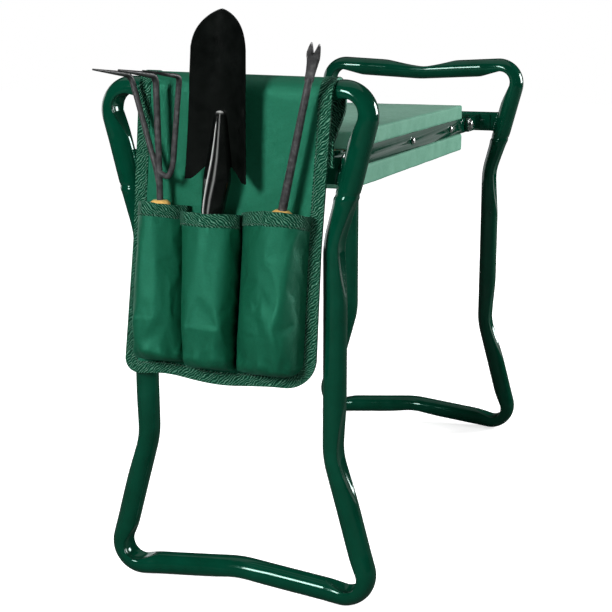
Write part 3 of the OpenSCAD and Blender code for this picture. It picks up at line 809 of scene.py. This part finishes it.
# %% The hang of the cloth
pouch_half, pouch_low = 93 * mm, 211 * mm
swing_z, cloth_r = 471.7 * mm, 18.82 * mm
front_run = swing_z - pouch_low
sleeve_turn = math.pi + math.radians(50.8)
sleeve_run = cloth_r * sleeve_turn
back_run, tail_run = 33.8 * mm, 22 * mm
cut_length = front_run + sleeve_run + back_run + tail_run
cut_width = 2 * pouch_half
left_corner_r, right_corner_r = 16 * mm, 30 * mm
foot_flare, foot_shift, top_shift = 0.045, 19 * mm, 6 * mm
slack_out, ripple_out, ripple_run = 1.5 * mm, 1.2 * mm, 17 * mm
sleeve_lift = 2.2 * mm
# Where the lower edge is hitched up or sags, in mm: by how much, where across, and how wide
hitches = ((3.4, 50.0, 26.0), (-1.8, -8.0, 24.0), (1.0, -62.0, 20.0))


def sway(y, s):
    """The hanging cloth stands askew and flares a little towards its lower edge."""
    low = np.clip(1 - s / front_run, 0, 1)
    flare = 1 + foot_flare * np.clip(2 * low - 1, 0, 1)
    return y * flare + foot_shift * low - top_shift


def hang(y, s):
    """Place points of the flat cut, across y and up s from the lower edge."""
    theta = math.pi - np.clip(s - front_run, 0, sleeve_run) / cloth_r
    x = near_x + cloth_r * np.cos(theta)
    z = np.where(s < front_run, pouch_low + s, swing_z + cloth_r * np.sin(theta))
    back = np.clip(s - front_run - sleeve_run, 0, back_run)
    x = x + back * math.sin(math.pi - sleeve_turn)
    z = z - back * math.cos(math.pi - sleeve_turn)
    z = z - np.clip(s - front_run - sleeve_run - back_run, 0, tail_run)
    low = np.clip(1 - s / front_run, 0, 1)
    slack = low**1.5 * (1 - (y / pouch_half) ** 2)
    x = x - slack_out * slack - ripple_out * low * np.sin(y / ripple_run + 0.8)
    hitch = sum(rise * mm * bell(y, where * mm, wide * mm) for rise, where, wide in hitches)
    loose = np.clip(s / front_run * 2.5 - 1.5, 0, 1)
    loose = loose * (1 - np.clip((s - front_run) / (0.8 * sleeve_run) - 0.25, 0, 1))
    z = z + hitch * low**4 + loose * sleeve_lift * (1 + y / pouch_half)
    return np.stack([x, sway(y, s), z], axis=1)


def rounded_corner(y, s):
    """Turn the square lower corners of the grid into round ones."""
    corner_r = np.where(y > 0, left_corner_r, right_corner_r)
    p = np.clip(np.abs(y) - (pouch_half - corner_r), 0, None)
    q = np.clip(corner_r - s, 0, None)
    both = (p > 0) & (q > 0)
    scale = np.where(both, np.maximum(p, q) / np.maximum(np.hypot(p, q), 1e-9), 1.0)
    y = np.where(both, np.sign(y) * (pouch_half - corner_r + p * scale), y)
    s = np.where(both, corner_r - q * scale, s)
    return y, s


print(f"pouch cut: {cut_width:.3f} by {cut_length:.3f} m")

# %% [markdown]
# The grid has square cells of two millimetres, so the weave has one scale all over and the binding
# can be a copy of the cells along the edge. A tape swept along the outline would need its own
# corners, and a copy of the cells already has them.

# %% Lay the panel
cell = 2 * mm
columns, rows = round(cut_width / cell), round(cut_length / cell)
deselect()
bpy.ops.mesh.primitive_grid_add(x_subdivisions=columns, y_subdivisions=rows, size=1.0)
panel = bpy.context.object
panel.name = "pouch_panel"
flat = points_of(panel)
across, up = flat[:, 0] * cut_width, (flat[:, 1] + 0.5) * cut_length
move_points(panel, hang(*rounded_corner(across, up)))


def map_in_metres(piece, width, length):
    """Scale a grid's own map so that one unit is one metre of cloth."""
    layer = piece.data.uv_layers.active
    table = np.empty(len(layer.uv) * 2)
    layer.uv.foreach_get("vector", table)
    table = table.reshape(-1, 2) * (width, length)
    layer.uv.foreach_set("vector", table.ravel())


map_in_metres(panel, cut_width, cut_length)


def lift_faces(piece, chosen, name):
    """Duplicate the chosen faces into a piece of their own."""
    pick(piece)
    bpy.ops.object.mode_set(mode="EDIT")
    bpy.ops.mesh.select_mode(type="FACE")
    bpy.ops.mesh.select_all(action="DESELECT")
    bpy.ops.object.mode_set(mode="OBJECT")
    piece.data.polygons.foreach_set("select", chosen)
    before = set(bpy.data.objects)
    bpy.ops.object.mode_set(mode="EDIT")
    bpy.ops.mesh.duplicate()
    bpy.ops.mesh.separate(type="SELECTED")
    bpy.ops.object.mode_set(mode="OBJECT")
    lifted = (set(bpy.data.objects) - before).pop()
    lifted.name = name
    return lifted


tape_cells = 6
face_middle = np.array([(across[list(f.vertices)].mean(), up[list(f.vertices)].mean())
                        for f in panel.data.polygons])
edge = (np.abs(face_middle[:, 0]) > pouch_half - tape_cells * cell) | (
    face_middle[:, 1] < tape_cells * cell)
binding = lift_faces(panel, edge, "pouch_binding_tape")
print("panel faces:", len(panel.data.polygons), "binding faces:", len(binding.data.polygons))

# %% Give the panel and the binding their thickness
panel_thick, binding_thick = 1.5 * mm, 3.1 * mm
for piece, thickness in ((panel, panel_thick), (binding, binding_thick)):
    harden(piece, "SOLIDIFY", thickness=thickness, offset=0.0)
hand_over(panel, "pouch", cloth, ["pouch_back_panel"], 60)
hand_over(binding, "pouch", tape, ["pouch_binding"], 50)

# %% [markdown]
# ## Pockets
#
# Each pocket is a sheet sewn to the panel along two sides and the bottom, and it stands out round
# the tool in it. Five flat plates would look like a box. Here a bowed section is drawn up the
# height, drawn in to the seam below, and then given its folds: a list of lines with a width and a
# height each, set down as they lie in the picture.

# %% The form of a pocket
pocket_low, pocket_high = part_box("pouch_pocket_left")[0].z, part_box("pouch_pocket_left")[1].z
toe_share, toe_rise = 0.2, 18 * mm
seam_sag, mouth_wave, toe_pucker = 6.0 * mm, 0.8 * mm, 0.9 * mm
seam_gap = 0.9 * mm
section_steps = 400

# Each pocket, in mm: its left and right seam, the square of its two sides and the place of its
# ridge, at the mouth and at the floor, then its depth, the rise of its mouth, the drop of its
# bottom seam and its round corners
pockets = {
    "left": dict(mouth=(77.0, 38.0), floor=(78.0, 24.0), deep=37.0, rise=8.0, drop=0.0,
                 corners=(2.0, 0.0), square=((2.2, 2.1), (2.4, 1.8)), ridge=(0.42, 0.45)),
    "middle": dict(mouth=(38.5, -17.0), floor=(25.0, -19.0), deep=38.0, rise=1.5, drop=3.0,
                   corners=(0.0, 0.0), square=((2.5, 5.5), (3.2, 5.5)), ridge=(0.56, 0.52)),
    "right": dict(mouth=(-19.0, -81.0), floor=(-21.0, -81.0), deep=36.0, rise=5.0, drop=4.5,
                  corners=(0.0, 12.0), square=((2.5, 3.2), (2.5, 2.0)), ridge=(0.60, 0.55)),
}

# Folds of each pocket: from (a, h) to (a, h), width, height in mm; a runs left to right
folds = {
    "left": [((0.40, 0.95), (0.38, 0.34), 0.08, 2.3), ((0.36, 0.34), (0.44, 0.17), 0.05, 2.3),
             ((0.44, 0.19), (0.66, 0.14), 0.035, 1.8), ((0.64, 0.90), (0.66, 0.32), 0.09, -3.4),
             ((0.62, 0.30), (0.78, 0.17), 0.08, -2.9), ((0.17, 0.40), (0.24, 0.16), 0.06, -1.6)],
    "middle": [((0.42, 0.95), (0.40, 0.22), 0.12, 1.3), ((0.27, 0.92), (0.28, 0.18), 0.05, -1.0),
               ((0.60, 0.88), (0.58, 0.40), 0.07, -0.8), ((0.66, 0.21), (0.80, 0.17), 0.035, 1.6),
               ((0.60, 0.27), (0.76, 0.22), 0.04, -1.3)],
    "right": [((0.44, 0.54), (0.60, 0.34), 0.05, 2.1), ((0.26, 0.68), (0.48, 0.42), 0.09, -2.9),
              ((0.66, 0.40), (0.74, 0.20), 0.12, 3.9), ((0.22, 0.28), (0.38, 0.18), 0.045, -2.1),
              ((0.58, 0.82), (0.66, 0.54), 0.10, 1.3), ((0.80, 0.92), (0.78, 0.55), 0.06, -1.0),
              ((0.60, 0.18), (0.84, 0.15), 0.03, -1.8)],
}


def bowed_section(name, end=0):
    """Even steps round a pocket at its mouth (0) or floor (1): out, across and length in metres."""
    form = pockets[name]
    a = np.linspace(0, 1, section_steps)
    left, right = form["square"][end]
    square = left + (right - left) * smooth_step(a)
    c = np.cos(math.pi * a)
    across = np.sign(c) * np.abs(c) ** (2 / square)
    lean = math.log(0.5) / math.log(form["ridge"][end])
    out = np.clip(np.sin(math.pi * a**lean), 0, 1) ** (2 / square)
    half = (form["mouth"][0] - form["mouth"][1] + form["floor"][0] - form["floor"][1]) / 4
    step = np.hypot(np.diff(out) * form["deep"], np.diff(across) * half)
    run = np.concatenate([[0], np.cumsum(step)])
    even = np.linspace(0, run[-1], section_steps)
    return np.interp(even, run, out), np.interp(even, run, across), run[-1] * mm


def fold_height(a, h, lines):
    """Sum of the folds at points of a pocket, in metres."""
    total = np.zeros_like(a)
    for (a0, h0), (a1, h1), width, height in lines:
        da, dh = a1 - a0, h1 - h0
        t = np.clip(((a - a0) * da + (h - h0) * dh) / (da * da + dh * dh), 0, 1)
        gap = np.hypot(a - a0 - t * da, h - h0 - t * dh)
        fade = 0.35 + 0.65 * np.sin(math.pi * np.clip(t, 0.12, 0.88))
        total += height * mm * np.exp(-((gap / width) ** 2)) * fade
    return total


def seam_at(form, side, wall, z):
    """Where one side seam of a pocket lies at a height, with its lower corner rounded."""
    y = (form["floor"][side] + (form["mouth"][side] - form["floor"][side]) * wall) * mm
    corner = form["corners"][side] * mm
    below = np.clip(pocket_low - form["drop"] * mm + corner - z, 0, corner)
    return y - (1 - 2 * side) * (corner - np.sqrt(corner**2 - below**2))


def pocket_points(name, a, h):
    """Points of a pocket, a across from its left seam and h up from its bottom seam."""
    form = pockets[name]
    steps = np.linspace(0, 1, section_steps)
    wall = np.clip((h - toe_share) / (1 - toe_share), 0, 1)
    (out, across), (floor_out, floor_across) = (
        [np.interp(a, steps, column) for column in bowed_section(name, end)[:2]] for end in (0, 1))
    out = floor_out + (out - floor_out) * wall
    across = floor_across + (across - floor_across) * wall
    turn = np.clip(h / toe_share, 0, 1) * math.pi / 2
    drawn = np.sin(turn) ** 0.85 * np.interp(wall, [0, 0.2, 1], [0.9, 1, 0.88])
    top, low = pocket_high + form["rise"] * mm, pocket_low - form["drop"] * mm
    toe = toe_rise * (0.25 + 0.75 * out)
    z = low + toe * (1 - np.cos(turn)) + wall * (top - low - toe)
    z = z - seam_sag * (1 - out) * wall + mouth_wave * np.sin(a * 8 + form["deep"]) * wall**6
    left, right = seam_at(form, 0, wall, z), seam_at(form, 1, wall, z)
    middle, half = (left + right) / 2, (left - right) / 2
    free = np.sin(math.pi * np.clip(a, 0, 1)) ** 0.6 * np.clip(h / 0.1, 0, 1)
    push = fold_height(a, h, folds[name]) * free
    push = push + toe_pucker * np.sin(a * 44 + form["deep"]) * bell(h, 0.17, 0.06) * free
    reach = np.hypot(out, across) + 1e-9
    y = middle + half * across + push * across / reach * 0.6
    out = out * form["deep"] * mm * drawn + push * out / reach
    s = np.clip(z - pouch_low, 0, front_run)
    panel_x = hang(np.clip(y, -pouch_half, pouch_half), s)[:, 0]
    return np.stack([panel_x - seam_gap - out, sway(y, s), z], axis=1)


for name in pockets:
    print(f"{name} pocket: {bowed_section(name)[2]:.3f} m of cloth round it")

# %% [markdown]
# A sewn pocket is never quite smooth: there is a little more cloth than the seams have room for,
# and it buckles. A short cloth simulation gives that. The sewn edges are pinned, the cloth grows by
# about a hundredth, and no point may move far, above all not inwards, where the handle stands.
# Points that lie on each other would stop the simulation, so the toe keeps some height at the seams.

# %% Let the cloth settle
def settle(piece, sewn, outwards, frames=12, most=1.9 * mm, inwards=0.6 * mm):
    """Grow a pinned sheet by simulation, with its moves capped."""
    before = points_of(piece)
    piece.vertex_groups.new(name="sewn").add(np.flatnonzero(sewn).tolist(), 1.0, "REPLACE")
    pick(piece)
    modifier = piece.modifiers.new("cloth", "CLOTH")
    rules = modifier.settings
    rules.quality = 8
    rules.mass = 0.08
    rules.vertex_group_mass = "sewn"
    rules.tension_stiffness = rules.compression_stiffness = 30.0
    rules.shear_stiffness = 12.0
    rules.bending_stiffness = 5.0
    rules.shrink_min = -0.012
    rules.effector_weights.gravity = 0.0
    modifier.collision_settings.use_collision = False
    modifier.point_cache.frame_end = frames
    for frame_number in range(1, frames + 1):
        bpy.context.scene.frame_set(frame_number)
    bpy.ops.object.modifier_apply(modifier=modifier.name)
    bpy.context.scene.frame_set(1)
    piece.vertex_groups.clear()
    move = points_of(piece) - before
    size = np.linalg.norm(move, axis=1, keepdims=True)
    move *= np.minimum(1, most / np.maximum(size, 1e-9))
    inner = np.einsum("ij,ij->i", move, outwards)
    move += outwards * (np.maximum(inner, -inwards) - inner)[:, None]
    move_points(piece, before + move)
    print(f"{piece.name}: settled by up to {np.linalg.norm(move, axis=1).max() / mm:.1f} mm")


# %% [markdown]
# A hem is the tape folded over the mouth. As with the binding, it is a copy of the cloth's own
# cells that gets a thicker wall, so it follows every bow of the mouth.

# %% Sew the pockets
pocket_cells = (72, 80)
hem_cells = 6
pocket_thick, hem_thick = 1.3 * mm, 2.9 * mm
thread_out, thread_up = 1.5 * mm, 1.6 * mm
pocket_hems, hem_lines = [], []
for side in pockets:
    deselect()
    bpy.ops.mesh.primitive_grid_add(x_subdivisions=pocket_cells[0],
                                    y_subdivisions=pocket_cells[1], size=1.0)
    pocket = bpy.context.object
    pocket.name = f"{side}_pocket"
    flat = points_of(pocket)
    a, h = flat[:, 0] + 0.5, flat[:, 1] + 0.5
    move_points(pocket, pocket_points(side, a, h))
    sewn = (h < 0.005) | (a < 0.005) | (a > 0.995)
    facing = np.array([v.normal for v in pocket.data.vertices])
    facing *= -np.sign(facing[len(facing) // 2, 0])
    settle(pocket, sewn, facing)
    hem_row = np.abs(h - (1 - hem_cells / pocket_cells[1])) < 0.3 / pocket_cells[1]
    hem_line = hem_row & (a > 0.14) & (a < 0.86)
    hem_lines.append(points_of(pocket)[hem_line] + facing[hem_line] * thread_out
                     + np.array([0, 0, thread_up]))
    pocket_cut = (bowed_section(side)[2],
                  pocket_high + (pockets[side]["rise"] + pockets[side]["deep"]) * mm - pocket_low)
    map_in_metres(pocket, *pocket_cut)
    middle_h = np.array([h[list(f.vertices)].mean() for f in pocket.data.polygons])
    hem = lift_faces(pocket, middle_h > 1 - hem_cells / pocket_cells[1], f"{side}_hem")
    harden(pocket, "SOLIDIFY", thickness=pocket_thick, offset=0.0)
    harden(hem, "SOLIDIFY", thickness=hem_thick, offset=0.0)
    pocket_hems.append(hem)
    hand_over(pocket, "pouch", cloth, [f"pouch_pocket_{side}"], 70)
hems = joined(pocket_hems, "hem_tapes")
hand_over(hems, "pouch", tape, ["pocket_hems"], 50)

# %% [markdown]
# Stitches hold the binding and the hems. One stitch is a stretched ball of a few faces, and it is
# copied at even steps along the same rules that placed the cloth.

# %% Stitches
deselect()
bpy.ops.mesh.primitive_uv_sphere_add(segments=6, ring_count=4, radius=1.0)
stitch = bpy.context.object
bpy.ops.transform.resize(value=(0.42 * mm, 0.42 * mm, 1.25 * mm))
bpy.ops.object.transform_apply(location=True, rotation=True, scale=True)
stitch_points = points_of(stitch)
stitch_faces = [list(f.vertices) for f in stitch.data.polygons]
bpy.data.objects.remove(stitch)


def seam(line, gap=3.4 * mm):
    """Stitch points and directions along a line of points."""
    run = np.concatenate([[0], np.cumsum(np.linalg.norm(np.diff(line, axis=0), axis=1))])
    stops = np.arange(gap / 2, run[-1], gap)
    where = np.stack([np.interp(stops, run, line[:, k]) for k in range(3)], axis=1)
    ahead = np.stack([np.interp(stops + 0.2 * mm, run, line[:, k]) for k in range(3)], axis=1)
    return list(zip(where, ahead - where))


inset = (tape_cells - 0.7) * cell
side_steps, corner_steps, foot_steps = 200, 10, 90
side_y = pouch_half - inset
square_y = np.concatenate([np.full(side_steps, side_y), np.linspace(side_y, 0, foot_steps)])
square_s = np.concatenate([np.linspace(front_run, right_corner_r, side_steps),
                           np.full(foot_steps, inset)])
into_corner = slice(side_steps - corner_steps, side_steps)
square_s[into_corner] = np.linspace(right_corner_r, inset, corner_steps)
line_y = np.concatenate([square_y, -square_y[::-1]])
line_s = np.concatenate([square_s, square_s[::-1]])
line = hang(*rounded_corner(line_y, line_s))
line[:, 0] -= 1.6 * mm
stitches = seam(line)
for line in hem_lines:
    stitches += seam(line)

all_points, all_faces = [], []
for where, ahead in stitches:
    turn = Vector(ahead).to_track_quat("Z", "X").to_matrix()
    first = len(all_points) * len(stitch_points)
    all_points.append(stitch_points @ np.array(turn).T + where)
    all_faces += [[first + i for i in f] for f in stitch_faces]
stitch_mesh = bpy.data.meshes.new("stitches")
stitch_mesh.from_pydata(np.concatenate(all_points).tolist(), [], all_faces)
sewing = bpy.data.objects.new("stitches", stitch_mesh)
bpy.context.collection.objects.link(sewing)
hand_over(sewing, "pouch", thread)
print("stitches:", len(stitches))

# %% [markdown]
# ## Handles
#
# The three handles are turned from beech: a swelling grip with eased ends. A cylinder is cut into
# rings, and each ring takes the radius of the turning at its height. A lathe profile that is spun
# would do as well, but rings keep the wall in even strips. The foot ends a little short in its
# pocket, so the cloth has room to round in below it.

# %% Turned handles
tool_x = (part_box("trowel_handle")[0].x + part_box("trowel_handle")[1].x) / 2
grip_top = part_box("cultivator_handle")[1].z
grip_r = 10 * mm
foot_short, cultivator_up, cultivator_y = 10 * mm, 3.5 * mm, 59 * mm


def grip_radius(share):
    """Radius of the turning, from its top end to its foot."""
    return grip_r * (0.86 + 0.14 * np.sin(np.radians(450 * share + 30)))


def turned_handle(name, length, edge=3 * mm):
    """A handle along Z with its top at the origin."""
    handle = ringed_cylinder(48, grip_r, -1.0, 58)
    handle.name = name
    table = points_of(handle)
    share = -table[:, 2]
    down = share * length
    body = grip_radius(np.clip((down - edge) / (length - 2 * edge), 0, 1))
    from_end = np.minimum(down, length - down)
    rounding = np.sqrt(np.clip(1 - (1 - np.clip(from_end / edge, 0, 1)) ** 2, 0, 1))
    groove = 0.35 * mm * (bell(down, 9 * mm, 0.9 * mm) + bell(down, 12 * mm, 0.9 * mm))
    radius = body - edge + edge * rounding - groove
    table[:, :2] *= (radius / grip_r)[:, None]
    table[:, 2] = -down
    move_points(handle, table)
    return handle


foot_r = grip_radius(1.0) - 3 * mm
trowel_top, trowel_lean, weeder_lean = 352 * mm, math.radians(3), math.radians(6)


def lean_at(table, top, tilt):
    """Tip points about +X and set their origin at a place."""
    c, s = math.cos(tilt), math.sin(tilt)
    return table @ np.array([[1, 0, 0], [0, c, -s], [0, s, c]]).T + top


tool_tops = {
    "trowel": (tool_x, 4 * mm, trowel_top),
    "cultivator": (tool_x, cultivator_y, grip_top + cultivator_up),
    "weeder": (tool_x, -60 * mm, grip_top),
}
for tool, tilt in (("trowel", trowel_lean), ("cultivator", 0.0), ("weeder", weeder_lean)):
    room = tool_tops[tool][2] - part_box(f"{tool}_handle")[0].z - foot_short
    handle = turned_handle(f"{tool}_grip", (room - foot_r * math.sin(tilt)) / math.cos(tilt))
    move_points(handle, lean_at(points_of(handle), tool_tops[tool], tilt))
    hand_over(handle, tool, beech, [f"{tool}_handle"], 50)

# %% [markdown]
# ## Trowel
#
# The blade is sheet steel rolled to a shallow trough, drawn in to a point, with two ears at its
# shoulders. An outline that is filled and bent would have long, thin faces. A grid that is mapped
# to the outline and then rolled has even ones, and its edge stays crisp under a small bevel.

# %% Rolled blade
blade_run, blade_half, blade_roll = 153 * mm, 26.5 * mm, 42 * mm
ear_out, point_run, ear_rise, ear_low = 3 * mm, 60 * mm, 12 * mm, 4.5 * mm
trough_back, blade_pitch = 6 * mm, math.radians(3.4)
tip_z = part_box("trowel_blade")[1].z
blade_foot = (tip_z - trowel_top) / math.cos(trowel_lean) - blade_run * math.cos(blade_pitch)
deselect()
bpy.ops.mesh.primitive_grid_add(x_subdivisions=72, y_subdivisions=120, size=1.0)
blade = bpy.context.object
blade.name = "trowel_steel"
flat = points_of(blade)
a, t = flat[:, 0] * 2, flat[:, 1] + 0.5
point = (1 - np.abs(a) ** 1.3) ** 0.24
top_z = blade_run - point_run * (1 - point)
ear = np.clip((0.86 - np.abs(a)) / 0.44, 0, 1)
low_z = ear_low + ear_rise * (0.6 * ear + 0.4 * smooth_step(ear))
z = low_z + t * (top_z - low_z)
widening = ear_out * np.clip(1 - z / (blade_run - point_run), 0, 1) ** 1.6
y = a * (blade_half + widening)
x = np.sqrt(blade_roll**2 - y**2) - blade_roll
c, s = math.cos(blade_pitch), math.sin(blade_pitch)
table = np.stack([trough_back + x * c - z * s, y, blade_foot + x * s + z * c], axis=1)
move_points(blade, lean_at(table, tool_tops["trowel"], trowel_lean))
close_up(blade)
harden(blade, "SOLIDIFY", thickness=1.5 * mm, offset=0.0)
harden(blade, "BEVEL", width=0.35 * mm, segments=2, limit_method="ANGLE",
       angle_limit=math.radians(50))
print("blade faces:", len(blade.data.polygons))

# %% [markdown]
# The socket is steel wrapped round the handle's tang, and its end runs up the blade as a rib. The wrap
# leaves a seam that stands up. A tapering tube takes its width, height and sideways lean from a few
# stations along its length, and the seam is a ridge at one angle. A painted highlight lies along the
# seam, on the facet to its left and round the rib's end.

# %% Socket and rib
rib_run = blade_foot + 66 * mm
socket = ringed_cylinder(200, 1.0, 0.0, 90)
table = points_of(socket)
share = table[:, 2]
around = np.arctan2(table[:, 1], -table[:, 0])
stations = [0, 0.20, 0.33, 0.45, 0.62, 0.82, 1]
wide = np.interp(share, stations, [10.6, 10.6, 12.0, 13.2, 10.6, 7.4, 5.0]) * mm
proud = np.interp(share, stations, [10.6, 9.6, 9.2, 8.8, 7.6, 6.2, 4.4]) * mm
aside = np.interp(share, stations, [1.0, 4.0, 2.4, 0.8, 0.0, 0.0, 0.0]) * mm
to_end = (1 - share) * rib_run
shut = np.sqrt(np.clip(1 - (1 - np.clip(to_end / (7 * mm), 0, 1)) ** 2, 0.0, 1))
seam_at_angle = 0.05 + 0.55 * np.clip(1 - share, 0, 0.7)
crease = np.clip(1 - np.abs(around - seam_at_angle) / 0.6, 0, 1)
lip = 1 + (0.16 * crease**2 + 0.05 * crease**12) * np.clip(to_end / (12 * mm), 0, 1)
table[:, 0] = -np.cos(around) * proud * shut * lip
table[:, 1] = np.sin(around) * wide * shut * lip + aside
table[:, 2] = share * rib_run
move_points(socket, lean_at(table, tool_tops["trowel"], trowel_lean))
# Painted highlight: a bright line along the seam, a fainter band on the facet to its left and a thin
# arch round the rib's end, kept as a point attribute.
highlight_share = bell(around, seam_at_angle, 0.055) * np.clip((to_end - 9 * mm) / (4 * mm), 0, 1)
highlight_share = np.maximum(highlight_share, 0.35 * bell(around, seam_at_angle - 0.4, 0.07) * (share < 0.55))
highlight_share = np.maximum(highlight_share, bell(to_end, 1.0 * mm, 0.9 * mm) * (np.cos(around) > 0.1))
socket.data.attributes.new("painted_highlight", "FLOAT", "POINT").data.foreach_set("value", highlight_share)
close_up(socket)
joined([blade, socket], "trowel_steel")
hand_over(blade, "trowel", black_steel, ["trowel_blade"], 40)

# %% [markdown]
# ## Cultivator and weeder
#
# Both are forged from bar. The cultivator's side tines are bent away from the middle one and its
# prongs are bent forward. A path with a round section suits a bar: its corners are eased, the
# section thins towards the tips, and the path becomes a mesh.

# %% Bars
def eased(corner_points, radius, steps=7):
    """Round the corners of a line of points."""
    line = [Vector(corner_points[0])]
    for before, here, after in zip(corner_points, corner_points[1:], corner_points[2:]):
        here = Vector(here)
        back = (Vector(before) - here).normalized() * radius
        ahead = (Vector(after) - here).normalized() * radius
        for i in range(steps + 1):
            t = i / steps
            line.append((1 - t) ** 2 * (here + back) + 2 * t * (1 - t) * here + t * t * (here + ahead))
    return line + [Vector(corner_points[-1])]


def bar(name, line, thick, taper_from=None, tip=0.25):
    """A round bar along a line, drawn down to a point after one place."""
    deselect()
    curve = bpy.data.curves.new(name, "CURVE")
    curve.dimensions = "3D"
    curve.bevel_depth = thick
    curve.bevel_resolution = 5
    curve.use_fill_caps = True
    path = curve.splines.new("POLY")
    path.points.add(len(line) - 1)
    for i, (point, where) in enumerate(zip(path.points, line)):
        point.co = (*where, 1.0)
        share = i / (len(line) - 1)
        if taper_from is not None and share > taper_from:
            point.radius = 1 - (1 - tip) * (share - taper_from) / (1 - taper_from)
    piece = bpy.data.objects.new(name, curve)
    bpy.context.collection.objects.link(piece)
    pick(piece)
    bpy.ops.object.convert(target="MESH")
    return bpy.context.object


print("bar helpers ready")

# %% Cultivator
tine_r, fan_half, tine_top = 2.6 * mm, 28.5 * mm, 492 * mm
prong_run, prong_rise, join_z = 51 * mm, 6.5 * mm, 404 * mm
rake = math.radians(-11)
rake_c, rake_s = math.cos(rake), math.sin(rake)


def raked(x, y, z):
    """A point of the cultivator, turned about its own handle."""
    return Vector((tool_x + rake_c * x - rake_s * y, cultivator_y + rake_s * x + rake_c * y, z))


feet = {
    1: [raked(0, 0.5 * mm, join_z - 8 * mm), raked(0, 3.5 * mm, join_z + 6 * mm)],
    0: [raked(0, 0, grip_top - 30 * mm), raked(0, 0, join_z)],
    -1: [raked(0, -1.0 * mm, join_z + 2 * mm), raked(0, -10 * mm, join_z - 2.5 * mm),
         raked(0, -15.5 * mm, join_z + 9 * mm)],
}
tines = []
for i, foot in feet.items():
    across = i * fan_half * (0.92 if i < 0 else 1.0) + 1.5 * mm
    bend = raked(0, across, tine_top)
    line = eased(foot + [bend, raked(-prong_run, across, tine_top + prong_rise)],
                 8 * mm if i >= 0 else 5.5 * mm)
    last = line.pop()
    line += [line[-1].lerp(last, k / 12) for k in range(1, 13)]
    tines.append(bar(f"tine_{i}", line, tine_r if i else 3.0 * mm, taper_from=0.55, tip=0.3))
rake_head = joined(tines, "cultivator_steel")
hand_over(rake_head, "cultivator", forged_steel, ["cultivator_tines"], 50)

# %% [markdown]
# The weeder is one flat-sided shaft that is hammered out into a hollow fork with two prongs. The
# shaft is an eight-sided bar with softened edges, and the fork is a grid with a notch in its top.

# %% Weeder
shaft_run, fork_run, notch = 117 * mm, 33 * mm, 11 * mm
bend_angle = weeder_lean + math.radians(6.4)
deselect()
bpy.ops.mesh.primitive_cylinder_add(vertices=8, radius=3.9 * mm, depth=shaft_run + 6 * mm,
                                    location=(0.0, 0.0, (shaft_run - 6 * mm) / 2))
shaft = bpy.context.object
bpy.ops.object.transform_apply(location=True, rotation=True, scale=True)
table = points_of(shaft)
table[:, :2] *= np.interp(table[:, 2], [0, shaft_run], [1.08, 0.86])[:, None]
move_points(shaft, table)
harden(shaft, "BEVEL", width=0.4 * mm, segments=2, limit_method="ANGLE",
       angle_limit=math.radians(30))

deselect()
bpy.ops.mesh.primitive_grid_add(x_subdivisions=20, y_subdivisions=24, size=1.0)
fork = bpy.context.object
flat = points_of(fork)
a, t = flat[:, 0] * 2, flat[:, 1] + 0.5
half = np.interp(t, [0, 0.35, 0.8, 1], [3.6, 4.0, 5.3, 5.1]) * mm
prong = np.abs(a) - 0.7
top = fork_run - notch * np.clip(-prong / 0.7, 0, 1) - 9 * mm * np.clip(prong / 0.3, 0, 1) ** 1.2
rise = t * top
hollow = -2.7 * mm * t**2
move_points(fork, np.stack([hollow, a * half, shaft_run - 3 * mm + rise], axis=1))
close_up(fork)
harden(fork, "SOLIDIFY", thickness=3.0 * mm, offset=0.0)
harden(fork, "BEVEL", width=0.5 * mm, segments=2, limit_method="ANGLE",
       angle_limit=math.radians(50))

joined([shaft, fork], "weeder_steel")
move_points(shaft, lean_at(points_of(shaft), tool_tops["weeder"], bend_angle))
hand_over(shaft, "weeder", forged_steel, ["weeder_fork"], 35)
